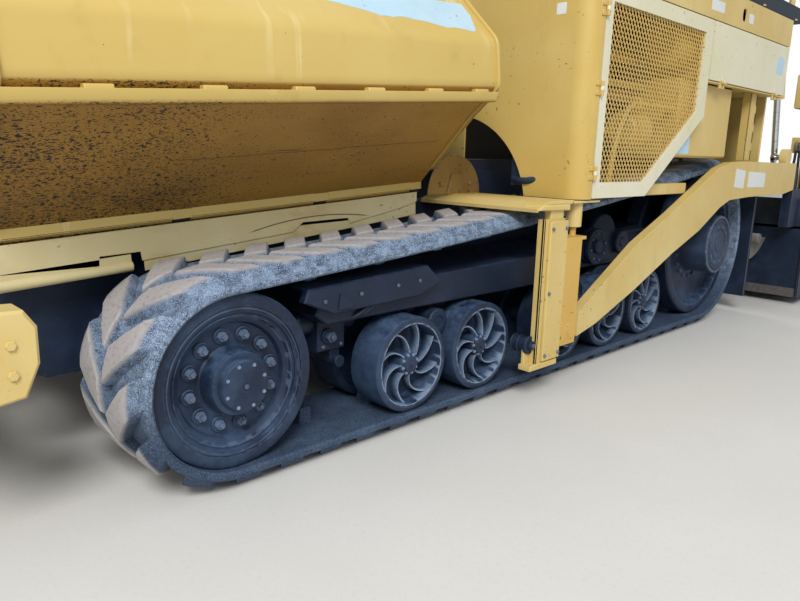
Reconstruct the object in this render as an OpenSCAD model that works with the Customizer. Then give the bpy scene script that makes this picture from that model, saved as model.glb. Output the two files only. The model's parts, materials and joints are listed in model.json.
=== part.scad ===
/* [Tracks] */
// Distance of each belt's centre line from the machine's centre plane
track_x = 1044; // [1000:1:1080]
// Width of a belt
belt_w = 450; // [420:5:460]
// Thickness of a belt under its lugs
belt_t = 33; // [28:1:38]
// Height of a lug above its belt
lug_h = 40; // [30:1:48]
// Length of a lug along the belt
lug_len = 112; // [90:1:120]
// Angle of a lug to a line straight across the belt
lug_skew = 35; // [25:1:40]
// Number of lugs in each of a belt's two rows
lug_count = 56; // [50:1:58]
// Sag of the belt's upper run between its end wheels
belt_sag = 33; // [20:1:40]
// Height of the guide blocks inside a belt
guide_h = 62; // [40:1:70]

/* [Wheels] */
// Radius of a small road wheel
bogie_r = 197; // [185:1:205]
// Radius of the front idler wheel
idler_r = 293; // [280:1:300]
// Radius of the rear drive wheel
drive_r = 485.5; // [470:0.5:495]
// Width of one half of a double wheel
tread_w = 159; // [150:1:162]
// Distance from the first road wheel forward to the idler
idler_reach = 790; // [770:1:810]
// Distance from the last road wheel back to the drive wheel
drive_gap = 836; // [815:1:870]
// Distance between the axles of wheels on one bogie
bogie_pitch = 440; // [430:1:450]
// Distance from the second road wheel to the third
bogie_gap = 658; // [640:1:670]

/* [Body] */
// Distance from a belt's outer edge out to the side panels
side_reach = 141; // [125:1:150]
// Distance from the first road wheel back to the body's front wall
front_wall_y = 905; // [895:1:920]
// Distance from the drive wheel back to the body's rear
tail_len = 591; // [585:1:640]
// Thickness of the sheet panels
sheet = 8; // [6:1:10]
// Height of the body's lower edge over the ground
sill_z = 912; // [905:1:920]
// Height of the seam above the side doors
door_top_z = 1868; // [1850:1:1880]
// Height of the operator's deck
deck_z = 2040; // [2020:5:2060]
// Height of the engine hood
hood_z = 2320; // [2250:5:2400]
// Radius of the body's upright front corners
corner_r = 90; // [70:1:95]

/* [Hopper] */
// Distance of a wing's hinge from the centre plane
wing_hinge_x = 755; // [745:1:765]
// Height of a wing's hinge at the back of the hopper
wing_hinge_z = 940; // [930:1:950]
// Rise of the hinge line towards the back, in degrees
hopper_pitch = 4; // [3:0.25:4.5]
// Length of a wing
wing_len = 1890; // [1850:5:1900]
// Thickness of a wing's plates
wing_t = 12; // [10:1:16]

/* [Screed] */
// Distance from the side panels out to the screed's ends
screed_reach = 90; // [80:5:110]
// Distance from the body's rear back to the screed's front
screed_gap = 685; // [675:5:715]
// Depth of the main screed plate along the machine
screed_depth = 420; // [400:5:450]
// Height of the parked screed over the ground
screed_lift = 60; // [50:1:70]
// Thickness of a tow arm
arm_t = 50; // [40:1:50]
// Distance of the tow pin's axis from the first road wheel
tow_pin_y = 890; // [885:1:895]
// Height of the tow pin
tow_pin_z = 308; // [300:1:315]
// Radius of the tow pin
tow_pin_r = 25; // [20:1:30]

/* [Canopy] */
// Height of the canopy's upper side
canopy_z = 3780; // [3700:10:3850]
// Width of the canopy
canopy_w = 2500; // [2300:10:2600]
// Length of the canopy
canopy_len = 2350; // [2200:10:2400]

/* [Clearances] */
// Gap between a moving panel and its frame
panel_gap = 6; // [5:0.5:8]
// Gap between faces that slide on each other
slide_gap = 0.3; // [0.2:0.05:0.5]
// Gap around a turning pin or a rod
pin_gap = 0.06; // [0.02:0.01:0.1]

/* [Hidden] */

$fn = 48;

// Lengths along the machine are taken from the first road wheel, and this shift puts the origin in the middle
roller_y = -1750;
roller_r = 92;
roller_z = 523;
belt_base_z = belt_t + lug_h;
drive_reach = 3 * bogie_pitch + bogie_gap + drive_gap;
body_half_w = track_x + belt_w / 2 + side_reach;
screed_half_w = body_half_w + screed_reach;
screed_y = drive_reach + tail_len + screed_gap;
bogie_ys = [0, bogie_pitch, bogie_pitch + bogie_gap, 2 * bogie_pitch + bogie_gap, 3 * bogie_pitch + bogie_gap];
body_rear_y = drive_reach + tail_len;
walkway_rear_y = screed_y + 900;
origin_y = (walkway_rear_y + roller_y - roller_r) / 2;
frame_half_w = track_x - belt_w / 2 - 119;
beam_half_w = track_x - belt_w / 2 - 18;
hopper_rear_y = 500;
hopper_front_y = -1390;
floor_t = 12;
tunnel_floor_z = 600;
tunnel_roof_z = 1020;
conveyor_half_w = 560;

// Height of the hopper's side floor at a place along the machine
function floor_z(y) = wing_hinge_z - 60 / cos(hopper_pitch) + (y - hopper_rear_y) * tan(hopper_pitch);

// Colours
yellow = [0.86, 0.72, 0.38];
orange = [0.84, 0.62, 0.22];
dark = [0.10, 0.12, 0.16];
steel = [0.55, 0.57, 0.6];
rubber = [0.25, 0.26, 0.28];

// The machine's origin
module placed() {
    translate([0, -origin_y, 0]) children();
}

// The left side is drawn and the right side is its mirror image
module on_side(side) {
    placed() mirror([side < 0 ? 1 : 0, 0, 0]) children();
}

// A profile in the upright plane along the machine, pushed out to the left from x
module slab_x(x, w) {
    translate([x, 0, 0]) rotate([90, 0, 90]) linear_extrude(w) children();
}

// A profile in the upright plane across the machine, pushed to the back from y
module slab_y(y, len) {
    translate([0, y + len, 0]) rotate([90, 0, 0]) linear_extrude(len) children();
}

module rod_x(x, y, z, r, len) {
    translate([x, y, z]) rotate([0, 90, 0]) cylinder(r = r, h = len);
}

module rod_y(x, y, z, r, len) {
    translate([x, y, z]) rotate([-90, 0, 0]) cylinder(r = r, h = len);
}

// A box by its low and high corners
module block(lo, hi) {
    translate(lo) cube(hi - lo);
}

// Belt course. All wheels stand on the belt's lower run, and the upper run sags between the end wheels
idler_z = belt_base_z + idler_r;
drive_z = belt_base_z + drive_r;
run_angle = 2 * atan((drive_r - idler_r) / (idler_reach + drive_reach));
deck_front_y = 2160;
sag_angle = atan(4 * belt_sag / (idler_reach + drive_reach));
front_angle = run_angle - sag_angle;
rear_angle = run_angle + sag_angle;
top_front = [-idler_reach - idler_r * sin(front_angle), idler_z + idler_r * cos(front_angle)];
top_rear = [drive_reach - drive_r * sin(rear_angle), drive_z + drive_r * cos(rear_angle)];
lower_run = idler_reach + drive_reach;
drive_turn = (180 + rear_angle) * drive_r * PI / 180;
upper_run = norm(top_rear - top_front);
idler_turn = (180 - front_angle) * idler_r * PI / 180;
belt_length = lower_run + drive_turn + upper_run + idler_turn;

// Point of the sagging upper run, u = 0 at the drive wheel and 1 at the idler
function upper_point(u) =
    top_rear + (top_front - top_rear) * u - belt_sag * 4 * u * (1 - u) * [-sin(run_angle), cos(run_angle)];

// The run's end points lie a little inside the end circles, so that line and arc cross cleanly
module belt_area(grow) {
    steps = 16;
    bite = 0.2;
    translate([-idler_reach, idler_z]) circle(r = idler_r + grow, $fn = 96);
    translate([drive_reach, drive_z]) circle(r = drive_r + grow, $fn = 96);
    polygon(concat(
        [[-idler_reach, belt_base_z - grow], [drive_reach, belt_base_z - grow]],
        [for (i = [0:steps]) upper_point(i / steps) + (i == 0 || i == steps ? grow - bite : grow)
            * [-sin(rear_angle - 2 * sag_angle * i / steps), cos(rear_angle - 2 * sag_angle * i / steps)]]
    ));
}

// Puts a child on the belt's inner surface, s along the belt from the idler's foot, its inner side up
module on_belt(s) {
    s2 = s - lower_run;
    s3 = s2 - drive_turn;
    s4 = s3 - upper_run;
    if (s2 < 0)
        translate([track_x, -idler_reach + s, belt_base_z]) children();
    else if (s3 < 0)
        translate([track_x, drive_reach, drive_z]) rotate([s2 / drive_r * 180 / PI, 0, 0])
            translate([0, 0, -drive_r]) children();
    else if (s4 < 0)
        translate([track_x, upper_point(s3 / upper_run)[0], upper_point(s3 / upper_run)[1]])
            rotate([180 + rear_angle - 2 * sag_angle * s3 / upper_run, 0, 0]) children();
    else
        translate([track_x, -idler_reach, idler_z]) rotate([180 + front_angle + s4 / idler_r * 180 / PI, 0, 0])
            translate([0, 0, -idler_r]) children();
}

// A slice of one row's lug on the belt's outer side, from x0 to x1. It leans back towards the belt's edge
module lug_slice(row, x0, x1) {
    lean = tan(lug_skew);
    half = lug_len / 2;
    skew = (x1 - x0) / 2 * lean;
    translate([0, 0, -belt_t - lug_h - 20]) mirror([row < 0 ? 1 : 0, 0, 0]) linear_extrude(lug_h + belt_t + 18)
        polygon([[x0, half + skew], [x0, -half + skew], [x1, -half - skew], [x1, half - skew]]);
}

// A lug lies in one slice on the straight runs, and in two where the belt turns
module lug(row, s) {
    edge = belt_w / 2 - 4;
    inner = 8;
    lean = tan(lug_skew);
    reach = edge * lean + lug_len;
    turning = (s > lower_run - lug_len && s < lower_run + drive_turn + reach)
        || s > lower_run + drive_turn + upper_run - lug_len || s < reach;
    slices = turning ? 2 : 1;
    slice_w = (edge - inner) / slices;
    for (k = [0:slices - 1]) {
        x0 = inner + k * slice_w;
        // Slices overlap by a little, so that their corners don't meet along an edge alone
        on_belt((s - (x0 + slice_w / 2) * lean + belt_length) % belt_length)
            lug_slice(row, x0 - (k > 0 ? 3 : 0), x0 + slice_w);
    }
}

module belt(side) {
    guide_w = 76;
    guide_len = 58;
    pitch = belt_length / lug_count;
    color(rubber) on_side(side) {
        slab_x(track_x - belt_w / 2, belt_w) difference() {
            belt_area(belt_t);
            belt_area(0);
        }
        intersection() {
            union() for (i = [0:lug_count - 1]) {
                lug(1, i * pitch);
                lug(-1, (i + 0.5) * pitch);
            }
            slab_x(track_x - belt_w / 2, belt_w) belt_area(belt_t + lug_h);
        }
        for (i = [0:2:lug_count - 1])
            on_belt((i + 0.25) * pitch) translate([-guide_w / 2, -guide_len / 2, -belt_t / 2])
                cube([guide_w, guide_len, guide_h + belt_t / 2]);
    }
}

module bogie_wheel(y) {
    rim = 24;
    hub_r = 46;
    face = track_x + 52 + tread_w;
    dish = 60;
    for (x = [track_x - 52 - tread_w, track_x + 52])
        translate([x, y, belt_base_z + bogie_r]) rotate([0, 90, 0]) difference() {
            cylinder(r = bogie_r, h = tread_w, $fn = 64);
            translate([0, 0, -1]) cylinder(r = bogie_r - rim, h = tread_w + 2, $fn = 64);
        }
    // Spokes and hub of the outer wheel
    translate([face - dish - 26, y, belt_base_z + bogie_r]) rotate([0, 90, 0]) {
        cylinder(r = hub_r, h = dish + 20);
        for (a = [0:45:315]) rotate([0, 0, a])
            translate([hub_r - 4, -5, 0]) cube([bogie_r - rim - hub_r + 8, 10, 44]);
        translate([0, 0, -14]) cylinder(r = bogie_r - rim + 2, h = 14);
    }
    // Web of the inner wheel and the axle
    rod_x(track_x - 52 - tread_w + 40, y, belt_base_z + bogie_r, bogie_r - rim + 2, 14);
    rod_x(beam_half_w, y, belt_base_z + bogie_r, 40, face - dish - beam_half_w);
}

module idler_wheel() {
    face = track_x + 52 + tread_w - 13;
    rim = 46;
    bolt_ring = 150;
    for (x = [track_x - 52 - tread_w, track_x + 52])
        translate([x, -idler_reach, idler_z]) rotate([0, 90, 0]) difference() {
            cylinder(r = idler_r, h = tread_w - 13, $fn = 96);
            translate([0, 0, -1]) cylinder(r = idler_r - rim, h = tread_w + 2, $fn = 96);
        }
    translate([track_x + 52, -idler_reach, idler_z]) rotate([0, 90, 0]) {
        cylinder(r = idler_r - rim + 2, h = tread_w - 50);
        cylinder(r = 105, h = tread_w + 20);
        cylinder(r = 84, h = tread_w + 42);
        for (a = [0:30:330]) rotate([0, 0, a + 15]) translate([bolt_ring, 0, 0])
            cylinder(r = 16, h = tread_w - 24, $fn = 6);
    }
    rod_x(track_x - 52 - tread_w + 30, -idler_reach, idler_z, idler_r - rim + 2, 20);
    rod_x(beam_half_w, -idler_reach, idler_z, 60, track_x + 60 - beam_half_w);
}

module drive_wheel() {
    rim = 60;
    hub_r = 194;
    for (x = [track_x - 52 - tread_w, track_x + 52])
        translate([x, drive_reach, drive_z]) rotate([0, 90, 0]) difference() {
            cylinder(r = drive_r, h = tread_w - 55, $fn = 96);
            translate([0, 0, -1]) cylinder(r = drive_r - rim, h = tread_w, $fn = 96);
        }
    translate([track_x + 52, drive_reach, drive_z]) rotate([0, 90, 0]) {
        cylinder(r = drive_r - rim + 2, h = tread_w - 90);
        cylinder(r = hub_r, h = tread_w + 70 + 39, $fn = 96);
    }
    rod_x(track_x - 52 - tread_w + 20, drive_reach, drive_z, drive_r - rim + 2, 24);
    rod_x(beam_half_w, drive_reach, drive_z, 150, track_x + 60 - beam_half_w);
}

module wheels(side) {
    color([0.18, 0.22, 0.28]) on_side(side) {
        for (y = bogie_ys) bogie_wheel(y);
        idler_wheel();
        drive_wheel();
    }
}

// Beams that carry the wheels of one track, between belt and chassis
module track_frame(side) {
    color(dark) on_side(side) {
        // Side beam between the chassis and the belt
        slab_x(frame_half_w, beam_half_w - frame_half_w) polygon([
            [-idler_reach - 110, 330], [drive_reach - 300, 330], [drive_reach + 170, 450],
            [drive_reach + 170, 700], [drive_reach - 300, 640], [-200, 470], [-idler_reach - 110, 450]
        ]);
        // Frame inside the belt, over the road wheels
        slab_x(beam_half_w, 380) polygon([
            [-430, 520], [-380, 480], [drive_reach - 614, 480], [drive_reach - 574, 560], [drive_reach - 574, 700], [300, 610], [-400, 590]
        ]);
        // Guard over the front road wheels
        slab_x(beam_half_w + 380, 40) polygon([
            [-376, 527], [-509, 584], [-492, 631], [110, 659], [196, 583], [60, 540]
        ]);
    }
}

// Chassis of two side plates, floors and end frames, with the conveyor tunnel between them
module chassis() {
    wall = 25;
    half = frame_half_w;
    front = hopper_front_y + 40;
    rear = body_rear_y + 60;
    eye_r = 30;
    color(dark) placed() {
        for (side = [-1, 1]) mirror([side < 0 ? 1 : 0, 0, 0]) difference() {
            slab_x(half - wall, wall) polygon([
                [front, 420], [front + 150, 330], [rear - 300, 330], [rear, 520], [rear, tunnel_roof_z],
                [hopper_rear_y, tunnel_roof_z], [hopper_rear_y, floor_z(hopper_rear_y)], [front, floor_z(front)]
            ]);
            // Tie-down eyes
            rod_x(half - wall - 1, front + 90, 520, eye_r, wall + 2);
            rod_x(half - wall - 1, rear - 55, 620, eye_r, wall + 2);
        }
        block([-half + wall, front + 150, 330], [half - wall, rear - 300, 350]);
        block([-half + wall, front, tunnel_floor_z - 20], [half - wall, rear, tunnel_floor_z]);
        block([-half + wall, hopper_rear_y, tunnel_roof_z - 20], [half - wall, rear, tunnel_roof_z]);
    }
}

module hopper_floor() {
    skirt_t = 12;
    pin_r = hinge_pin_r;
    color(dark) placed() {
        for (side = [-1, 1]) mirror([side < 0 ? 1 : 0, 0, 0]) {
            // Side floor, skirt under the wing's hinge, and the wall down to the conveyor
            translate([0, hopper_rear_y, wing_hinge_z]) rotate([hopper_pitch, 0, 0]) {
                block([conveyor_half_w, -wing_len, -60], [wing_hinge_x - 8, -6, -60 + floor_t]);
                difference() {
                    block([wing_hinge_x - 20, -wing_len, -220], [wing_hinge_x - 8, 0, -40]);
                    block([0, -wing_len - 1, -300], [wing_hinge_x, 0, -180]);
                }
                rod_y(wing_hinge_x, -wing_len, 0, pin_r, wing_len);
                for (y = hinge_lugs) hinge_lug(y);
            }
            slab_x(conveyor_half_w, floor_t) polygon([
                [hopper_front_y + 40, tunnel_floor_z], [hopper_rear_y, tunnel_floor_z],
                [hopper_rear_y, floor_z(hopper_rear_y)], [hopper_front_y + 40, floor_z(hopper_front_y + 40)]
            ]);
        }
        // Back wall between the wings
        block([-wing_hinge_x + 40, hopper_rear_y + 10, tunnel_roof_z], [wing_hinge_x - 40, hopper_rear_y + 20, 1650]);
    }
}

// Wing hinges: lugs of the fixed skirt hold a pin, and the wing's tubes turn on it between them
hinge_pin_r = 14;
hinge_tube_r = 24;
hinge_lug_w = 60;
hinge_lugs = [-wing_len, -wing_len * 2 / 3, -wing_len / 3, -hinge_lug_w];

module hinge_lug(y) {
    translate([0, y, 0]) {
        rod_y(wing_hinge_x, 0, 0, hinge_tube_r, hinge_lug_w);
        block([wing_hinge_x - 20, 0, -60], [wing_hinge_x - 8, hinge_lug_w, 0]);
    }
}

module conveyors() {
    color(steel) placed() for (side = [-1, 1]) mirror([side < 0 ? 1 : 0, 0, 0])
        for (y = [hopper_front_y + 60:160:body_rear_y]) block([30, y, tunnel_floor_z], [540, y + 50, tunnel_floor_z + 30]);
}

module engine() {
    color(dark) placed() block([-420, 1150, tunnel_roof_z], [420, 2080, 1900]);
}

// Cross beam for the push rollers on a stub in the chassis's middle
module push_beam() {
    axle_r = 30;
    color(dark) placed() {
        block([-1230, -1640, 433], [1230, -1480, 613]);
        block([-300, -1480, 440], [300, hopper_front_y + 40, 600]);
        difference() {
            union() {
                block([-50, roller_y - 45, roller_z - 45], [50, -1640, roller_z + 45]);
                for (x = [-1040, 990]) block([x, roller_y - 45, roller_z - 45], [x + 50, -1640, roller_z + 45]);
            }
            rod_x(-1100, roller_y, roller_z, axle_r + pin_gap, 2200);
        }
    }
}

module push_roller(side) {
    color(steel) on_side(side) {
        rod_x(56, roller_y, roller_z, roller_r, 928);
        rod_x(5, roller_y, roller_z, 30, 1030);
    }
}

// The tow post is a channel, and a cylinder above its slide lifts the tow point
post_x = body_half_w - arm_t;
post_front_y = 652;
post_rear_y = 824;
post_lo_z = 173;
post_hi_z = 833;
slide_lo_z = 233;
slide_hi_z = 743;
slide_rear_y = 950;
tow_rod_x = body_half_w - 65;
tow_rod_y = 965;
tow_rod_r = 15;

module tow_post(side) {
    barrel_r = 38;
    barrel_lo_z = 780;
    barrel_hi_z = 1120;
    plate_t = 16;
    color(yellow) on_side(side) {
        difference() {
            block([post_x, post_front_y, post_lo_z], [body_half_w, post_rear_y - slide_gap, post_hi_z]);
            block([post_x - 1, post_front_y + 12, post_lo_z - 1], [body_half_w - 12, post_rear_y - 20, post_hi_z + 1]);
        }
        // Stepped block between the post and the fender
        block([post_x - 60, 700, post_hi_z], [body_half_w, 915, sill_z - plate_t]);
        // Fender over the belt, which carries the post and the barrel
        difference() {
            union() {
                block([frame_half_w, 640, sill_z - plate_t], [body_half_w - 10, 870, sill_z]);
                block([track_x + belt_w / 2 + 16, 640, sill_z - plate_t], [body_half_w - 10, 1100, sill_z]);
            }
            translate([tow_rod_x, tow_rod_y, 800]) cylinder(r = barrel_r - 2, h = 200);
        }
        difference() {
            translate([tow_rod_x, tow_rod_y, barrel_lo_z]) cylinder(r = barrel_r, h = barrel_hi_z - barrel_lo_z);
            translate([tow_rod_x, tow_rod_y, barrel_lo_z - 1])
                cylinder(r = tow_rod_r + pin_gap, h = barrel_hi_z - barrel_lo_z - 20);
        }
    }
}

// Slides with two cheeks each that hold the tow pins. Both rise together
module tow_slides() {
    cheek = 12;
    cap = 15;
    color(orange) for (side = [-1, 1]) on_side(side) {
        block([post_x, post_rear_y, slide_lo_z], [body_half_w, post_rear_y + cheek, slide_hi_z]);
        for (x = [post_x, body_half_w - cheek])
            difference() {
                block([x, post_rear_y, slide_lo_z], [x + cheek, slide_rear_y, slide_hi_z]);
                rod_x(x - 1, tow_pin_y, tow_pin_z, tow_pin_r - 1, cheek + 2);
            }
        rod_x(post_x - 6, tow_pin_y, tow_pin_z, tow_pin_r, arm_t + 8);
        block([tow_rod_x - 30, post_rear_y, slide_hi_z - cap], [body_half_w, tow_rod_y + 20, slide_hi_z]);
        translate([tow_rod_x, tow_rod_y, slide_hi_z - 1]) cylinder(r = tow_rod_r, h = 220);
    }
}

// A tow arm in side view, thick behind the tongue that enters the slide
arm_top = [[970, 375], [1501, 668], [1872, 813], [2335, 1009], [2463, 1060], [2632, 1096], [2854, 1104], [screed_y - 190, 1100]];
arm_bottom = [[screed_y - 190, 905], [3686, 878], [3003, 874], [2679, 862], [2538, 821], [2262, 693], [1928, 583], [1510, 421],
    [1141, 296], [970, 258]];

// Lift cylinder between the deck's edge and the tow arm
lift_x = post_x - 51;
lift_top = [body_rear_y + 95, 1990];
lift_eye = [body_rear_y + 295, 1140];
lift_angle = atan((lift_eye[0] - lift_top[0]) / (lift_top[1] - lift_eye[1]));
lift_length = norm(lift_eye - lift_top);
lift_mouth = 455;
lift_rod_r = 22;

// Puts a child at the cylinder's upper pin, its length pointing along -Z
module lift_frame() {
    translate([lift_x, lift_top[0], lift_top[1]]) rotate([lift_angle, 0, 0]) children();
}

module tow_arm(side) {
    tongue = arm_t - 2 * 12 - 2;
    color(yellow) on_side(side) {
        slab_x(post_x, arm_t) polygon(concat(arm_top, arm_bottom));
        difference() {
            slab_x(post_x + (arm_t - tongue) / 2, tongue) union() {
                translate([tow_pin_y, tow_pin_z]) circle(r = 46);
                polygon([[tow_pin_y, tow_pin_z + 46], [tow_pin_y, tow_pin_z - 46], [980, 262], [980, 376]]);
            }
            rod_x(post_x - 1, tow_pin_y, tow_pin_z, tow_pin_r + pin_gap, arm_t + 2);
        }
        // Seat of the lift rod's pin
        slab_x(post_x, arm_t) translate([lift_eye[0], lift_eye[1]]) circle(r = 60);
    }
}

// Front panel of one side, bent round the upright corner, with an arc cut over the conveyor opening
arc_x0 = 630;
arc_z0 = 830;
arc_r = 470;

module front_panel(side) {
    outer = body_half_w;
    y0 = front_wall_y;
    color(yellow) on_side(side) difference() {
        translate([0, 0, sill_z]) linear_extrude(hood_z - sill_z) {
            translate([frame_half_w, y0]) square([outer - corner_r - frame_half_w, sheet]);
            intersection() {
                difference() {
                    translate([outer - corner_r, y0 + corner_r]) circle(r = corner_r);
                    translate([outer - corner_r, y0 + corner_r]) circle(r = corner_r - sheet);
                }
                translate([outer - corner_r, y0]) square(corner_r);
            }
        }
        rod_y(arc_x0, y0 - 10, arc_z0, arc_r, 30);
    }
    color(yellow) on_side(side) door_knuckles(0);
}

// Middle of the front wall and the hood's sides over the deck
module hood_sides() {
    rear = deck_front_y;
    color(yellow) placed() {
        block([-frame_half_w, front_wall_y, tunnel_roof_z], [frame_half_w, front_wall_y + sheet, hood_z]);
        for (side = [-1, 1]) mirror([side < 0 ? 1 : 0, 0, 0])
            block([body_half_w - sheet, front_wall_y + corner_r, deck_z - 4], [body_half_w, rear, hood_z]);
        block([-body_half_w + sheet, rear - sheet, deck_z + 4], [body_half_w - sheet, rear, hood_z]);
        // Ledge at the back of the hood for the lid's hinges
        block([-body_half_w + 210, rear - 12, hood_z - 4], [body_half_w - 210, rear, hood_z + panel_gap + lid_t]);
        lid_knuckles(0);
    }
}

// Hinges stand on the panels' outer faces. Fixed knuckles and pin are part 0, the moving knuckle is part 1
knuckle_r = 9;
knuckle_pin_r = 5;
knuckle_w = 20;
knuckle_out = knuckle_r + 0.3;

// One hinge along +Z, its fixed leaf towards -Y and its moving leaf towards +Y, on a face at X = 0
module hinge(part) {
    leaf = 34;
    leaf_t = 4;
    translate([knuckle_out, 0, 0]) {
        if (part == 0) {
            for (z = [0, 2 * (knuckle_w + 1)]) translate([0, 0, z]) {
                cylinder(r = knuckle_r, h = knuckle_w);
                block([-knuckle_out - 8, -leaf, 0], [-knuckle_out + leaf_t, 0, knuckle_w]);
            }
            cylinder(r = knuckle_pin_r, h = 3 * knuckle_w + 2);
        } else translate([0, 0, knuckle_w + 1]) difference() {
            union() {
                cylinder(r = knuckle_r, h = knuckle_w);
                block([-knuckle_out - 2, 0, 0], [-knuckle_out + leaf_t, leaf, knuckle_w]);
            }
            translate([0, 0, -1]) cylinder(r = knuckle_pin_r + pin_gap, h = knuckle_w + 2);
        }
    }
}

hatch_hinge_z = 1548;

module hatch_knuckles(part) {
    for (y = [deck_front_y + 150, body_rear_y - 220])
        translate([body_half_w, y + 62, hatch_hinge_z]) rotate([90, 0, 0]) hinge(part);
}

door_hinge_y = 998;

module door_knuckles(part) {
    for (z = [sill_z + 90, 1380, door_top_z - 150])
        translate([body_half_w, door_hinge_y, z]) hinge(part);
}

lid_hinge_y = deck_front_y - 14;

module lid_knuckles(part) {
    for (x = [-1100, -30, 1040])
        translate([x, lid_hinge_y, hood_z + panel_gap + lid_t]) rotate([0, 90, 0]) mirror([1, 0, 0]) mirror([0, 1, 0])
            hinge(part);
}

lid_t = 20;

module side_body(side) {
    outer = body_half_w;
    color(yellow) on_side(side) {
        // Sill beam behind the door
        block([outer - 120, 1010, sill_z], [post_x - panel_gap, 2140, sill_z + 60]);
        // Lip under the hatch with its hinges
        block([outer - 40, deck_front_y, 1537], [outer, body_rear_y, 1545]);
        hatch_knuckles(0);
        // Upper panel with its lower flange
        difference() {
            union() {
                block([outer - sheet, front_wall_y + corner_r, door_top_z], [outer, body_rear_y, deck_z - 4]);
                block([outer - 40, front_wall_y + corner_r, door_top_z], [outer, body_rear_y, door_top_z + sheet]);
            }
            slab_x(outer - 30, 60) {
                translate([2560, door_top_z + 50]) circle(r = 30);
                translate([2560, door_top_z + 110]) circle(r = 30);
                translate([2530, door_top_z + 50]) square([60, 60]);
            }
        }
        // Compartment behind the hatch
        difference() {
            block([outer - 420, deck_front_y, 1545], [outer - 26, body_rear_y, door_top_z + sheet]);
            block([outer - 412, deck_front_y + 8, 1553], [outer, body_rear_y - 8, door_top_z - 8]);
        }
        // Tank over the belt
        difference() {
            block([outer - 400, 1680, 1076], [post_x - panel_gap, 2557, 1545]);
            block([outer - 401, 1679, 1075], [outer - 125, 2558, 1150]);
        }
    }
}

module engine_bay() {
    color(dark) placed() {
        block([-frame_half_w, deck_front_y - 40, tunnel_roof_z], [frame_half_w, deck_front_y - 28, deck_z - 4]);
        block([-body_half_w + 420, deck_front_y - 40, tunnel_roof_z + 60], [body_half_w - 420, deck_front_y - 28, deck_z - 4]);
        for (side = [-1, 1]) mirror([side < 0 ? 1 : 0, 0, 0]) {
            block([frame_half_w - 25, front_wall_y + sheet, tunnel_roof_z], [frame_half_w, body_rear_y, tunnel_roof_z + 60]);
            block([frame_half_w, 1700, 1160], [body_half_w - 400, 2120, 1200]);
        }
    }
}

module deck() {
    color(dark) placed() {
        difference() {
            block([-body_half_w, deck_front_y, deck_z - 4], [body_half_w, body_rear_y + 150, deck_z + 4]);
        }
        // Brackets of the lift cylinders
        for (side = [-1, 1], x = [lift_x - 26, lift_x + 15]) mirror([side < 0 ? 1 : 0, 0, 0])
            slab_x(x, 11) polygon([
                [lift_top[0] - 50, deck_z - 4], [lift_top[0] - 25, lift_top[1] - 30],
                [lift_top[0] + 25, lift_top[1] - 30], [lift_top[0] + 50, deck_z - 4]
            ]);
        for (side = [-1, 1]) mirror([side < 0 ? 1 : 0, 0, 0])
            rod_x(lift_x - 26, lift_top[0], lift_top[1], 16, 52);
    }
}

module stations() {
    color(dark) placed() for (side = [-1, 1]) mirror([side < 0 ? 1 : 0, 0, 0]) {
        block([700, 2900, deck_z + 4], [1180, 3300, deck_z + 420]);
        block([720, 3200, deck_z + 420], [1160, 3320, deck_z + 1000]);
        block([650, 2350, deck_z + 4], [1250, 2650, deck_z + 950]);
    }
}

module handrail(side) {
    x = body_half_w - 40;
    color(yellow) on_side(side) {
        for (y = [2250, 2850, 3450]) translate([x, y, deck_z + 4]) cylinder(r = 19, h = 1046);
        rod_y(x, 2250, deck_z + 1050, 19, 1200);
        rod_y(x, 2250, deck_z + 550, 15, 1200);
    }
}

module canopy_posts() {
    color(yellow) placed() for (side = [-1, 1], y = [2230, 3490]) mirror([side < 0 ? 1 : 0, 0, 0])
        translate([canopy_w / 2 - 110, y, deck_z + 4]) cylinder(r = 35, h = canopy_z - 100 - deck_z - 4);
}

module canopy() {
    color(yellow) placed() block([-canopy_w / 2, 1650, canopy_z - 100], [canopy_w / 2, 1650 + canopy_len, canopy_z]);
}

module auger_frame() {
    y0 = body_rear_y + 60;
    color(dark) placed() {
        difference() {
            union() {
                block([-90, y0, 400], [90, auger_y + 60, 700]);
                block([-40, y0, 690], [40, y0 + 140, tunnel_roof_z + 10]);
            }
            rod_x(-91, auger_y, auger_z, auger_shaft_r + pin_gap, 182);
        }
        block([-body_half_w + 110, y0, tunnel_roof_z], [body_half_w - 110, y0 + 30, tunnel_roof_z + 80]);
        block([-frame_half_w, body_rear_y, tunnel_roof_z], [frame_half_w, y0 + 30, tunnel_roof_z + 60]);
        for (side = [-1, 1]) mirror([side < 0 ? 1 : 0, 0, 0])
            block([conveyor_half_w + 40, y0, 120], [body_half_w - 110, y0 + 30, tunnel_roof_z]);
    }
}

auger_y = body_rear_y + 430;
auger_z = 520;
auger_r = 180;
auger_shaft_r = 40;

module auger(side) {
    color(steel) on_side(side) {
        rod_x(5, auger_y, auger_z, auger_shaft_r, 1240);
        for (x = [120:200:1140]) rod_x(x, auger_y, auger_z, auger_r, 20);
    }
}

module rear_frame() {
    color(dark) placed() {
        block([-body_half_w + 110, body_rear_y, tunnel_roof_z + 60], [body_half_w - 110, body_rear_y + 20, deck_z - 4]);
    }
}

// A hopper wing in section, from the hinge outwards and up: floor, side and inward top
wing_section = [
    [32, 30], [170, 162], [340, 322], [430, 392], [490, 442], [480, 622], [310, 792], [130, 972]
];

module wing(side) {
    inner = offset_line(wing_section, wing_t);
    color(yellow) on_side(side)
        translate([wing_hinge_x, hopper_rear_y, wing_hinge_z]) rotate([hopper_pitch, 0, 0]) {
            slab_y(-wing_len, wing_len) polygon(concat(wing_section, reversed(inner)));
            for (i = [0:len(hinge_lugs) - 2]) hinge_tube(hinge_lugs[i] + hinge_lug_w + panel_gap,
                hinge_lugs[i + 1] - panel_gap);
        }
}

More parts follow.
